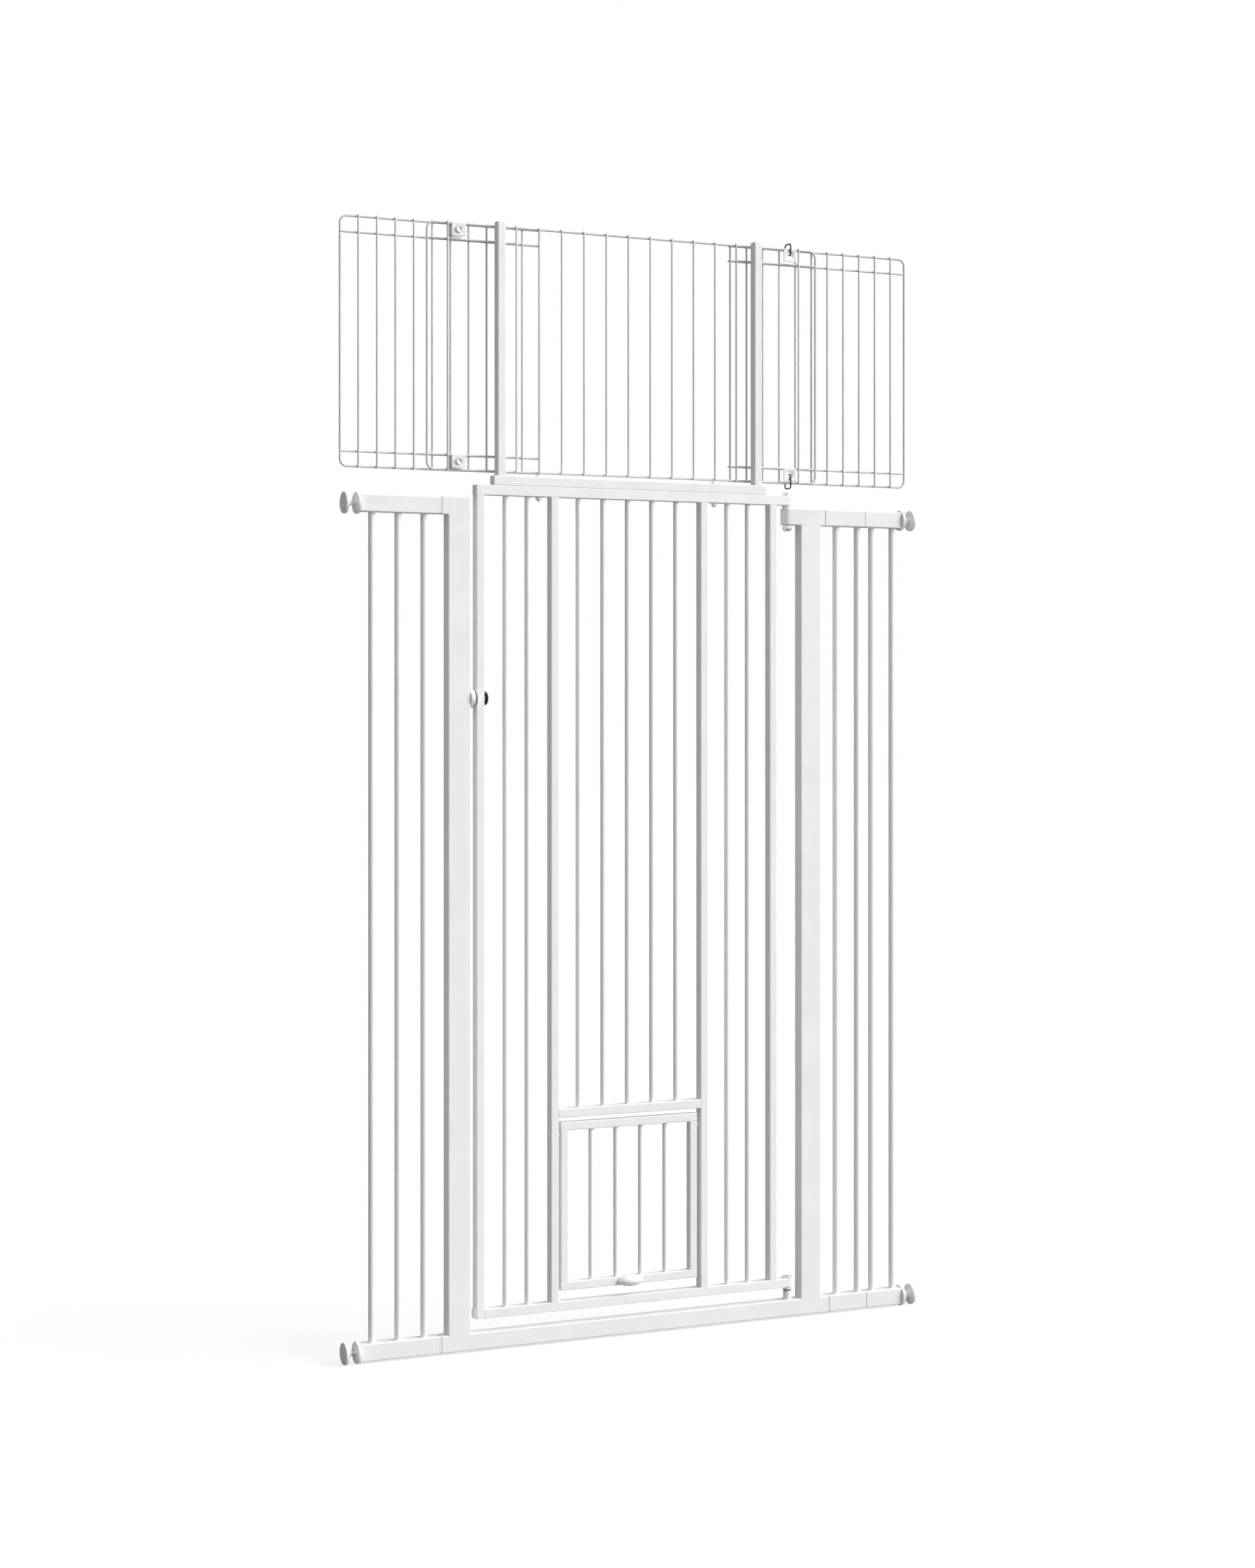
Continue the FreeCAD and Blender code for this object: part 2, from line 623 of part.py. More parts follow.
def latch():
    stile_left = "door_x - stile_half"
    flange = cylinder("latch_flange", "latch_flange_thick",
                      (f"{stile_left} - latch_flange_thick", "0", "latch_z"), ALONG_X)
    barrel = cylinder("latch_barrel", "stile_wide", (stile_left, "0", "latch_z"), ALONG_X)
    bore = cylinder("latch_bore", "stile_wide + latch_flange_thick + 2",
                    (f"{stile_left} - latch_flange_thick - 1", "0", "latch_z"), ALONG_X)
    keep(cut(fuse(flange, barrel), bore), "latch_housing")

    knob_x = f"{stile_left} + stile_wide + latch_travel + 0.3"
    tip_x = f"{stile_left} - latch_flange_thick - latch_proud"
    bolt = cylinder("latch_bolt", f"({knob_x}) - ({tip_x}) + 3", (tip_x, "0", "latch_z"), ALONG_X)
    bolt = round_edges(bolt, 1.5, lambda edge: edge.CenterOfMass.x < size("door_x") - size("stile_half") - 2
                       and edge.BoundBox.XLength < 0.01)
    keep(bolt, "latch_bolt")

    dome = DOC.addObject("Part::Ellipsoid", "Dome")
    dome.setExpression("Radius1", bound("knob_thick"))
    dome.setExpression("Radius2", bound("knob_round / 2"))
    dome.setExpression("Radius3", bound("knob_round / 2"))
    place(dome, (knob_x, "0", "latch_z"), ALONG_X)
    half = box("knob_thick * 2", "knob_round + 2", "knob_round + 2",
               (f"{knob_x} + knob_thick", "0", "latch_z - knob_round / 2 - 1"))
    socket = cylinder("latch_bolt + 0.1", "3.1", (knob_x, "0", "latch_z"), ALONG_X)
    keep(cut(common(dome, half), socket), "latch_knob")

    face = "left_upright_x + upright_wide / 2"
    boss = cylinder("keeper_round", "keeper_thick", (face, "0", "latch_z"), ALONG_X)
    boss = round_edges(boss, 4.0, lambda edge: edge.BoundBox.XLength < 0.01
                       and edge.CenterOfMass.x > size("left_upright_x") + size("upright_wide") / 2 + 1)
    hole_floor = f"{face} + keeper_thick - keeper_hole"
    hole = cylinder("latch_bolt + 1", "keeper_hole + 1", (hole_floor, "0", "latch_z"), ALONG_X)
    keep(cut(boss, hole), "latch_keeper")


# ---------------------------------------------------------------- cat door

def cat_door():
    inner_low = "cat_low + cat_rail_tall"
    inner_tall = f"cat_top - cat_rail_tall - ({inner_low})"
    for name, sign in (("left", "-1"), ("right", "1")):
        tube(f"cat_door_{name}_stile", "cat_wide", "cat_deep", inner_tall,
             (f"cat_x + {sign} * (cat_half - cat_wide / 2)", "0", inner_low),
             gauge="door_gauge", corner="door_round",
             holes=[(f"pivot_z - ({inner_low})", "pivot_bush", "YZ_Plane")])
    for name, z in (("top", "cat_top - cat_rail_tall / 2"), ("bottom", "cat_low + cat_rail_tall / 2")):
        tube(f"cat_door_{name}_rail", "cat_rail_tall", "cat_deep", "2 * cat_half",
             ("cat_x - cat_half", "0", z), ALONG_X, gauge="door_gauge", corner="door_round")
    bars = bar_row("cat_bar", 4, "cat_bar_step", inner_tall, ("cat_bar_x", "0", inner_low))
    keep(bars, "cat_door_bars")

    bushes = []
    bolts = []
    spacers = []
    gap = "mullion_half - stile_wide - cat_half"
    for sign, turn in (("-1", ALONG_X), ("1", BACK_X)):
        stile = f"cat_x + {sign} * cat_half"
        bush = cylinder("pivot_bush", "cat_wide", (stile, "0", "pivot_z"), turn)
        bore = cylinder("pivot_bore", "cat_wide + 2", (f"{stile} + {sign} * 1", "0", "pivot_z"), turn)
        bushes.append(cut(bush, bore))
        outer = f"door_x + {sign} * mullion_half"
        head = cylinder("pivot_head", "pivot_head_tall",
                        (f"{outer} + {sign} * pivot_head_tall", "0", "pivot_z"), turn)
        shank = cylinder("pivot_bolt", "stile_wide + pivot_spacer + cat_wide + 1",
                         (outer, "0", "pivot_z"), turn)
        bolts.append(fuse(head, shank))
        inner_face = f"door_x + {sign} * (mullion_half - stile_wide)"
        spacer = cylinder("pivot_bush + 1", "pivot_spacer", (inner_face, "0", "pivot_z"), turn)
        bore = cylinder("pivot_bolt + 0.1", "12", (f"{inner_face} + {sign} * 1", "0", "pivot_z"), turn)
        spacers.append(cut(spacer, bore))
    keep(group(*bushes), "cat_door_bushes")
    keep(group(*bolts, *spacers), "cat_pivot_bolts")

    front = "-cat_deep / 2"
    pebble = DOC.addObject("Part::Ellipsoid", "Pebble")
    pebble.setExpression("Radius1", bound("pull_tall / 2"))
    pebble.setExpression("Radius2", bound("pull_long / 2"))
    pebble.setExpression("Radius3", bound("pull_thick"))
    place(pebble, ("cat_x", front, "cat_low + cat_rail_tall / 2"))
    half = box("pull_long + 2", "pull_thick * 2", "pull_tall + 2",
               ("cat_x", f"{front} - pull_thick", "cat_low + cat_rail_tall / 2 - pull_tall / 2 - 1"))
    keep(common(pebble, half), "cat_door_pull")


# ---------------------------------------------------------------- topper

def bent_wire(points, bends, thick):
    """A round wire along straight runs joined by tangent arcs, as a solid."""
    edges = []
    start = points[0]
    for k in range(1, len(points) - 1):
        towards = (points[k] - points[k - 1]).normalize()
        away = (points[k + 1] - points[k]).normalize()
        turn = towards.getAngle(away)
        reach = bends[k - 1] * math.tan(turn / 2)
        arc_start = points[k] - towards * reach
        arc_end = points[k] + away * reach
        inward = (away - towards).normalize()
        centre = points[k] + inward * (bends[k - 1] / math.cos(turn / 2))
        arc_middle = centre - inward * bends[k - 1]
        edges.append(Part.LineSegment(start, arc_start).toShape())
        edges.append(Part.Arc(arc_start, arc_middle, arc_end).toShape())
        start = arc_end
    edges.append(Part.LineSegment(start, points[-1]).toShape())
    spine = Part.Wire(edges)
    heading = (points[1] - points[0]).normalize()
    ring = Part.Wire(Part.makeCircle(thick / 2, points[0], heading))
    return spine.makePipeShell([ring], True, False)


def straight_wire(start, end, thick):
    run = end - start
    return Part.makeCylinder(thick / 2, run.Length, start, run.normalize())


def upright_wire(x, y, low, top):
    """A wire that runs a little past the loop's lower and upper level."""
    return straight_wire(Vector(x, y, low - size("wire_foot")), Vector(x, y, top + size("wire_tip")),
                         size("wire_thick"))


def solid_feature(label, solids):
    piece = DOC.addObject("Part::Feature", label)
    piece.Shape = Part.makeCompound(solids) if len(solids) > 1 else solids[0]
    piece.Placement = Placement()
    return keep(piece, label)


def wire_panel_levels(front_y):
    """Y of the upright wires, and of the loop and cross wires behind them."""
    upright_y = front_y + size("wire_thick") / 2
    cross_y = front_y + size("wire_thick") + size("loop_thick") / 2
    return upright_y, cross_y


def centre_wire_panel():
    upright_y, cross_y = wire_panel_levels(size("post_deep") / 2)
    middle = size("topper_x")
    half = size("centre_half")
    top = size("wire_top")
    low = size("wire_low")
    bend = size("loop_round")
    # the loop is two bent halves, butt-welded at the middle of the top and bottom
    loops = []
    for sign in (-1, 1):
        end = middle + sign * half
        path = [Vector(middle, cross_y, top), Vector(end, cross_y, top), Vector(end, cross_y, low),
                Vector(middle, cross_y, low)]
        loops.append(bent_wire(path, [bend, bend], size("loop_thick")))
    offsets = [k * size("centre_step") for k in range(-5, 6)]
    offsets += [-size("post_half"), size("post_half"), -size("centre_last"), size("centre_last")]
    wires = []
    for offset in offsets:
        x = middle + offset
        wires.append(upright_wire(x, upright_y, low, top))
    inner = 5 * size("centre_step")
    edge = size("loop_thick") / 2
    for sign in (-1, 1):
        for level in (size("wire_second"), size("wire_low_second")):
            wires.append(straight_wire(Vector(middle + sign * (inner - 2), cross_y, level),
                                       Vector(middle + sign * (half - edge), cross_y, level),
                                       size("wire_thick")))
    solid_feature("centre_wire_panel", loops + wires)


def side_wire_panel(name, sign):
    """A sliding side panel: a U of wire, its upright wires, and two more cross wires."""
    centre_back = size("post_deep") / 2 + size("wire_thick") + size("loop_thick")
    upright_y, cross_y = wire_panel_levels(centre_back + size("panel_gap"))
    end = size("wall_half") - size("loop_thick") / 2 - 0.5
    first = end - size("side_end_gap")
    last = first - 10 * size("side_step")
    inner = last - 2
    top = size("wire_top")
    low = size("wire_low")
    bend = size("loop_round")
    path = [Vector(sign * inner, cross_y, top), Vector(sign * end, cross_y, top),
            Vector(sign * end, cross_y, low), Vector(sign * inner, cross_y, low)]
    solids = [bent_wire(path, [bend, bend], size("loop_thick"))]
    for k in range(11):
        x = sign * (first - k * size("side_step"))
        solids.append(upright_wire(x, upright_y, low, top))
    for level in (size("wire_second"), size("wire_low_second")):
        solids.append(straight_wire(Vector(sign * inner, cross_y, level),
                                    Vector(sign * (end - size("loop_thick") / 2), cross_y, level),
                                    size("wire_thick")))
    solid_feature(name, solids)


def topper():
    tube("topper_base_rail", "base_tall", "door_deep", "2 * base_half",
         ("topper_x - base_half", "0", "door_top + base_tall / 2"), ALONG_X,
         gauge="door_gauge", corner="door_round",
         holes=[("topper_bolt_x - topper_bolt_half - topper_x + base_half", "topper_bolt + 0.2", "YZ_Plane"),
                ("topper_bolt_x + topper_bolt_half - topper_x + base_half", "topper_bolt + 0.2", "YZ_Plane")])
    base_top = "door_top + base_tall"
    for name, sign in (("left", "-1"), ("right", "1")):
        x = f"topper_x + {sign} * post_half"
        tube(f"topper_{name}_post", "stile_wide", "post_deep", f"post_top - cap_tall - ({base_top})",
             (x, "0", base_top), gauge="door_gauge", corner="door_round")
        head = box("stile_wide", "post_deep", "cap_tall", (x, "0", "post_top - cap_tall"))
        spigot = box("stile_wide - 2 * door_gauge - 0.2", "post_deep - 2 * door_gauge - 0.2", "10",
                     (x, "0", "post_top - cap_tall - 10"))
        DOOR_CAPS.append(fuse(head, spigot))
    keep(group(*DOOR_CAPS), "door_caps")

    bolts = []
    nuts = []
    rail_low = "door_top - top_rail_tall"
    for sign in ("-1", "1"):
        x = f"topper_bolt_x + {sign} * topper_bolt_half"
        head = hexagon("small_head", "small_head_tall", (x, "0", base_top))
        shank = cylinder("topper_bolt", f"{base_top} - ({rail_low}) + 8", (x, "0", f"{rail_low} - 8"))
        bolts.append(fuse(head, shank))
        nut_low = f"{rail_low} - small_nut_tall"
        nut = hexagon("small_head", "small_nut_tall", (x, "0", nut_low), soft_top=False)
        hole = cylinder("topper_bolt + 0.1", "small_nut_tall + 2", (x, "0", f"{nut_low} - 1"))
        nuts.append(cut(nut, hole))
    TOPPER_FASTENERS.extend(bolts + nuts)

    centre_wire_panel()
    side_wire_panel("left_wire_panel", -1)
    side_wire_panel("right_wire_panel", 1)


def clamps():
    """Square plates that hold the side panels to the centre panel: bolted left, hooked right."""
    front_y = "post_deep / 2 - 0.2 - clamp_thick"
    stack = "wire_thick + loop_thick + panel_gap + wire_thick + loop_thick"
    back_y = f"post_deep / 2 + {stack} + 0.4"
    front_plates = []
    back_plates = []
    bolts = []
    for sign, hole in (("-1", "topper_bolt + 0.2"), ("1", "hook_hole")):
        x = f"topper_x + {sign} * clamp_half"
        for z in ("clamp_top_z", "clamp_low_z"):
            for level, kept in ((front_y, front_plates), (back_y, back_plates)):
                plate = box("clamp_wide", "clamp_thick", "clamp_tall",
                            (x, f"{level} + clamp_thick / 2", f"{z} - clamp_tall / 2"))
                drill = cylinder(hole, "clamp_thick + 2", (x, f"{level} - 1", z), ALONG_Y)
                if kept is front_plates or sign == "-1":
                    kept.append(cut(plate, drill))
            if sign == "-1":
                head = cylinder("clamp_head", "clamp_head_tall",
                                (x, f"{front_y} - clamp_head_tall", z), ALONG_Y)
                shank = cylinder("topper_bolt", f"({back_y}) - ({front_y}) + clamp_thick + 6",
                                 (x, front_y, z), ALONG_Y)
                nut = cylinder("clamp_head - 0.5", "small_nut_tall",
                               (x, f"{back_y} + clamp_thick", z), ALONG_Y)
                bolts.append(fuse(head, shank, nut))
    keep(group(*front_plates, *back_plates), "clamp_plates")
    keep(group(*TOPPER_FASTENERS, *bolts), "topper_bolts")

    thick = size("hook_thick")
    hook_x = size("topper_x") + size("clamp_half")
    leg_y = size("post_deep") / 2 - 0.2 - size("clamp_thick") - 0.3 - thick / 2
    panel_back = (size("post_deep") / 2 + 2 * (size("wire_thick") + size("loop_thick"))
                  + size("panel_gap"))
    rear_y = panel_back + 1.0 + thick / 2
    hooks = []
    for hole_z, wire_z, sign in ((size("clamp_top_z"), size("wire_top"), 1),
                                 (size("clamp_low_z"), size("wire_low"), -1)):
        crest = wire_z + sign * size("hook_rise")
        path = [Vector(hook_x, leg_y + 7, hole_z), Vector(hook_x, leg_y, hole_z),
                Vector(hook_x, leg_y, crest), Vector(hook_x, rear_y, crest),
                Vector(hook_x, rear_y, wire_z - sign * 2)]
        hooks.append(bent_wire(path, [2.2, 4.5, 4.5], thick))
    solid_feature("clamp_hooks", hooks)


# ---------------------------------------------------------------- build, test and write

frame()
extensions()
tension_mounts()
door()
hinge_bolts()
latch()
cat_door()
topper()
clamps()
DOC.recompute()

for item in DOC.Objects:
    if "Invalid" in item.State or "Error" in item.State:
        raise RuntimeError(f"{item.Name} ({item.Label}) did not build: {item.State}")
for node in NODES:
    if node.Shape.isNull() or not node.Shape.isValid() or not node.Shape.Solids:
        raise RuntimeError(f"{node.Label} has no valid solid")

os.makedirs("parts", exist_ok=True)
for node in NODES:
    node.Shape.exportStep(f"parts/{node.Label}.step")
print(len(NODES), "sub-parts written")
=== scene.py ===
import json
import math

import bmesh
import bpy
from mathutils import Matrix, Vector


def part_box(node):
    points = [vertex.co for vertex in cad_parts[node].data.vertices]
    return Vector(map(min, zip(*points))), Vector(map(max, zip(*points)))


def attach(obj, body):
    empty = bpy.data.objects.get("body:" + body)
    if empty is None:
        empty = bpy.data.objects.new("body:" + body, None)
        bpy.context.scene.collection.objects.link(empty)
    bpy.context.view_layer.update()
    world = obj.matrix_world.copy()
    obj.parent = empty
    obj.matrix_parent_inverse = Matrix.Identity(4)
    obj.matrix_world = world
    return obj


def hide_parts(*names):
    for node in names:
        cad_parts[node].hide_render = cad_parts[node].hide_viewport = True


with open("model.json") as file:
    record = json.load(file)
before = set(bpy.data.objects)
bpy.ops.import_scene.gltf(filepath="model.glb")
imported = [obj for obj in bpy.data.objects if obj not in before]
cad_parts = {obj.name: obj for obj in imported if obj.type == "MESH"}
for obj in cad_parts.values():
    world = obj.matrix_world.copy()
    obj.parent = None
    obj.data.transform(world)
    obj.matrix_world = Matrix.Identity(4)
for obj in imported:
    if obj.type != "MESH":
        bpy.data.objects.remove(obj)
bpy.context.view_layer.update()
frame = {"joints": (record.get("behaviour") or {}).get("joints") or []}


# ======================================================================= uprights and rails of the frame
# Rolled steel tube, 30 and 42 mm wide, sawn square and welded into an open U that stands between two
# walls. After welding the whole frame is powder coated white, which leaves a faint orange peel.

MM = 0.001
TUBE_CORNER = 1.7 * MM
SAWN_EDGE = 0.35 * MM
FLAT_MARGIN = 0.4 * MM
SMALLEST_CORNER = 0.15 * MM


def new_tree(name, kind, inputs, outputs):
    """An empty node group with its inputs and outputs named, and its two end nodes."""
    tree = bpy.data.node_groups.new(name, kind)
    for label, socket, *start in inputs:
        made = tree.interface.new_socket(label, in_out="INPUT", socket_type="NodeSocket" + socket)
        if start:
            made.default_value = start[0]
    for label, socket in outputs:
        tree.interface.new_socket(label, in_out="OUTPUT", socket_type="NodeSocket" + socket)
    return tree, tree.nodes.new("NodeGroupInput").outputs, tree.nodes.new("NodeGroupOutput").inputs


def set_inputs(tree, made, inputs):
    """Gives each input of a node a value, or a link where the value is another node's socket."""
    for key, value in inputs.items():
        if isinstance(value, bpy.types.NodeSocket):
            tree.links.new(value, made.inputs[key])
        else:
            made.inputs[key].default_value = value


def add_node(tree, kind, inputs=None, **settings):
    """A new node with its settings and inputs."""
    made = tree.nodes.new(kind)
    for setting, value in settings.items():
        setattr(made, setting, value)
    set_inputs(tree, made, inputs or {})
    return made


def reckon(tree, operation, first, second):
    """What an operation on two numbers or sockets gives."""
    return add_node(tree, "ShaderNodeMath", {0: first, 1: second}, operation=operation).outputs[0]


def surface_detail():
    """Grain height, slow mottle and settled specks, which every finish uses at its own scale."""
    tree, given, result = new_tree(
        "surface_detail", "ShaderNodeTree",
        (("Grain Size", "Float", 0.001), ("Mottle Size", "Float", 0.05), ("Speck Size", "Float", 0.02)),
        (("Height", "Float"), ("Mottle", "Float"), ("Specks", "Float")))
    place = add_node(tree, "ShaderNodeTexCoord").outputs["Object"]
    grain = add_node(tree, "ShaderNodeTexNoise",
                     {"Vector": place, "Scale": reckon(tree, "DIVIDE", 1, given["Grain Size"]),
                      "Detail": 3})
    mottle = add_node(tree, "ShaderNodeTexNoise",
                      {"Vector": place, "Scale": reckon(tree, "DIVIDE", 1, given["Mottle Size"]),
                       "Detail": 5})
    spread = add_node(tree, "ShaderNodeMapRange",
                      {"Value": mottle.outputs["Fac"], "From Min": 0.3, "From Max": 0.7})
    specks = add_node(tree, "ShaderNodeTexVoronoi",
                      {"Vector": place, "Scale": reckon(tree, "DIVIDE", 1, given["Speck Size"])})
    near = add_node(tree, "ShaderNodeMapRange",
                    {"Value": specks.outputs["Distance"], "From Min": 0.03, "From Max": 0.015})
    tree.links.new(grain.outputs["Fac"], result["Height"])
    tree.links.new(spread.outputs[0], result["Mottle"])
    tree.links.new(near.outputs[0], result["Specks"])
    return tree


SURFACE_DETAIL = surface_detail()


def finish(name, darker, lighter, smoothest, roughest, grain, relief, mottle=0.06, specks=0.012,
           speck_colour=(0.55, 0.54, 0.52), speck_share=0.35, metal=0.0, shine=0.5):
    """A material whose colour and gloss drift slowly, over a fine grain in relief."""
    material = bpy.data.materials.new(name)
    material.use_nodes = True
    tree = material.node_tree
    detail = add_node(tree, "ShaderNodeGroup", node_tree=SURFACE_DETAIL)
    set_inputs(tree, detail, {"Grain Size": grain, "Mottle Size": mottle, "Speck Size": specks})
    tone = add_node(tree, "ShaderNodeMix",
                    {"Factor": detail.outputs["Mottle"], "A": (*darker, 1), "B": (*lighter, 1)},
                    data_type="RGBA")
    share = reckon(tree, "MULTIPLY", detail.outputs["Specks"], speck_share)
    dotted = add_node(tree, "ShaderNodeMix",
                      {"Factor": share, "A": tone.outputs["Result"], "B": (*speck_colour, 1)},
                      data_type="RGBA")
    gloss = add_node(tree, "ShaderNodeMapRange",
                     {"Value": detail.outputs["Mottle"], "To Min": smoothest, "To Max": roughest})
    bump = add_node(tree, "ShaderNodeBump",
                    {"Strength": 1, "Distance": relief, "Height": detail.outputs["Height"]})
    set_inputs(tree, tree.nodes["Principled BSDF"],
               {"Metallic": metal, "Specular IOR Level": shine, "Base Color": dotted.outputs["Result"],
                "Roughness": gloss.outputs[0], "Normal": bump.outputs["Normal"]})
    return material


POWDER_COAT = finish("white_powder_coat", (0.845, 0.848, 0.85), (0.885, 0.886, 0.885), 0.3, 0.4,
                     grain=1.4 * MM, relief=0.012 * MM)


def shade(mesh, sharp=50):
    """Smooth shading, with an edge kept wherever two faces meet at more than an angle."""
    mesh.polygons.foreach_set("use_smooth", [True] * len(mesh.polygons))
    mesh.set_sharp_from_angle(angle=math.radians(sharp))


def new_piece(name, mesh, material):
    """An object at the origin that holds a finished mesh."""
    if material:
        mesh.materials.clear()
        mesh.materials.append(material)
    piece = bpy.data.objects.new(name, mesh)
    bpy.context.scene.collection.objects.link(piece)
    return piece


def loft(name, stacks, material, sharp=50, looped=False):
    """Skins over stacks of rings, closed by their end rings or, when looped, back to the first ring."""
    shape = bmesh.new()
    for rings in stacks:
        rows = [[shape.verts.new(point) for point in ring] for ring in rings]
        for row, following in zip(rows, rows[1:] + (rows[:1] if looped else [])):
            for k in range(len(row)):
                after = (k + 1) % len(row)
                shape.faces.new((row[k], row[after], following[after], following[k]))
        if not looped:
            shape.faces.new(rows[0][::-1])
            shape.faces.new(rows[-1])
    bmesh.ops.recalc_face_normals(shape, faces=shape.faces)
    mesh = bpy.data.meshes.new(name)
    shape.to_mesh(mesh)
    shape.free()
    shade(mesh, sharp)
    return new_piece(name, mesh, material)


def rounded_outline(half_u, half_v, corner, inset):
    """A rectangle with round corners, with a point beside each corner that keeps the flats flat."""
    half_u -= inset
    half_v -= inset
    corner = max(corner - inset, SMALLEST_CORNER)
    points = []
    for quarter, (sign_u, sign_v) in enumerate(((1, 1), (-1, 1), (-1, -1), (1, -1))):
        centre = Vector((sign_u * (half_u - corner), sign_v * (half_v - corner)))
        angles = [math.radians(90 * quarter + 18 * k) for k in range(6)]
        arc = [centre + corner * Vector((math.cos(a), math.sin(a))) for a in angles]
        before = Vector((math.sin(angles[0]), -math.cos(angles[0]))) * FLAT_MARGIN
        after = Vector((-math.sin(angles[-1]), math.cos(angles[-1]))) * FLAT_MARGIN
        points += [arc[0] + before, *arc, arc[-1] + after]
    return points


def sawn_ends(length, edge):
    """Distance and inset of the rings that close a length of tube with slightly broken edges."""
    start = [(0, edge + FLAT_MARGIN), (0, edge), (0.3 * edge, 0.3 * edge), (edge, 0), (edge + FLAT_MARGIN, 0)]
    return start + [(length - distance, inset) for distance, inset in reversed(start)]


def box_rings(low, high, along, corner, levels):
    """Rings across a box, at distances from its low end along one axis, each with its inset."""
    u, v = (along + 1) % 3, (along + 2) % 3
    middle = (low + high) / 2
    rings = []
    for distance, inset in levels:
        ring = []
        for step_u, step_v in rounded_outline((high[u] - low[u]) / 2, (high[v] - low[v]) / 2, corner, inset):
            point = middle.copy()
            point[along] = low[along] + distance
            point[u] += step_u
            point[v] += step_v
            ring.append(point)
        rings.append(ring)
    return rings


def tube_rings(low, high, corner=TUBE_CORNER, edge=SAWN_EDGE):
    """Rings of one tube that fills a box, along the box's longest side."""
    extent = high - low
    along = max(range(3), key=lambda axis: extent[axis])
    return box_rings(low, high, along, corner, sawn_ends(extent[along], edge))


def fit(piece, body, slot, *nodes):
    """The piece moves with its body, and stands for the solids that it was drawn from."""
    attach(piece, body)
    if nodes:
        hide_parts(*nodes)


# a sunk end closes the groove that the rolled corner of the next tube would leave
for node, sink_low, sink_high in (("frame_left_upright", (0, 0, TUBE_CORNER), (0, 0, 0)),
                                  ("frame_right_upright", (0, 0, TUBE_CORNER), (0, 0, TUBE_CORNER)),
                                  ("frame_bottom_rail", (0, 0, 0), (0, 0, 0)),
                                  ("frame_left_stub", (0, 0, 0), (TUBE_CORNER, 0, 0))):
    low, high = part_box(node)
    tube = loft(node.replace("frame", "standing"),
                [tube_rings(low - Vector(sink_low), high + Vector(sink_high))], POWDER_COAT)
    fit(tube, "frame", "white_powder_coat", node)


# ======================================================================= hinge arm
# The short arm at the top right carries the upper hinge. It is a steel box with a half-round end about
# the hinge line, welded to the right upright and coated with it.

ARM_EDGE = 1.2 * MM
ARM_CORNER = 0.8 * MM
HINGE_X = frame["joints"][0]["pos_m"][0]


def half_round_outline(flat_x, round_x, half_deep, inset):
    """Plan of a rail whose far end is a half circle; the other end is square with small corners."""
    facing = 1 if round_x > flat_x else -1
    radius = half_deep - inset
    square_x = flat_x + facing * inset
    points = []
    for k in range(25):
        angle = math.radians(-90 + 180 * k / 24)
        points.append((round_x + facing * radius * math.cos(angle), radius * math.sin(angle)))
    for side in (1, -1):
        centre_x, centre_y = square_x + facing * ARM_CORNER, side * (radius - ARM_CORNER)
        turn = [(centre_x + facing * FLAT_MARGIN, side * radius)]
        for k in range(5):
            angle = math.radians(90 * k / 4)
            turn.append((centre_x - facing * ARM_CORNER * math.sin(angle),
                         centre_y + side * ARM_CORNER * math.cos(angle)))
        turn.append((square_x, centre_y - side * FLAT_MARGIN))
        points += turn if side > 0 else turn[::-1]
    return points


def half_round_rail(node, round_x, flat_x, edge):
    """Rings of a half-round rail from its lower face to its upper one, with soft edges."""
    low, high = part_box(node)
    tall = high.z - low.z
    turns = [math.radians(18 * k) for k in range(6)]
    bends = [(edge * (1 - math.cos(a)), edge * (1 - math.sin(a))) for a in turns]
    start = [(0, edge + FLAT_MARGIN), *bends, (edge + FLAT_MARGIN, 0)]
    levels = start + [(tall - height, inset) for height, inset in reversed(start)]
    rings = []
    for height, inset in levels:
        outline = half_round_outline(flat_x, round_x, (high.y - low.y) / 2, inset)
        rings.append([Vector((x, y, low.z + height)) for x, y in outline])
    return rings


arm_low, arm_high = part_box("frame_hinge_arm")
arm = loft("hinge_arm", [half_round_rail("frame_hinge_arm", HINGE_X, arm_high.x, ARM_EDGE)], POWDER_COAT)
fit(arm, "frame", "white_powder_coat", "frame_hinge_arm")


# ======================================================================= extension rails
# Two sets on the right and one on the left widen the gate. Each rail is the same 30 mm tube as the
# frame, and slips over a plastic joint piece.

RIGHT_SEAM = 1.4 * MM
RIGHT_SEAM_X = {"top": 462 * MM, "bottom": 465 * MM}

for node in ("left_extension_top_rail", "left_extension_bottom_rail"):
    rail = loft(node.replace("extension", "side"), [tube_rings(*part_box(node))], POWDER_COAT)
    fit(rail, "frame", "white_powder_coat", node)
for level, seam_x in RIGHT_SEAM_X.items():
    node = f"right_extension_{level}_rails"
    low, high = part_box(node)
    inner = tube_rings(low, Vector((seam_x, high.y, high.z)))
    outer = tube_rings(Vector((seam_x + RIGHT_SEAM, low.y, low.z)), high)
    rails = loft(node.replace("extension", "side"), [inner, outer], POWDER_COAT)
    fit(rails, "frame", "white_powder_coat", node)


# ======================================================================= joint collars
# White plastic joint pieces. A spigot goes 12 mm into the tubes on both sides of a seam. Only the wide
# left seams show a collar round it, a little below the steel.

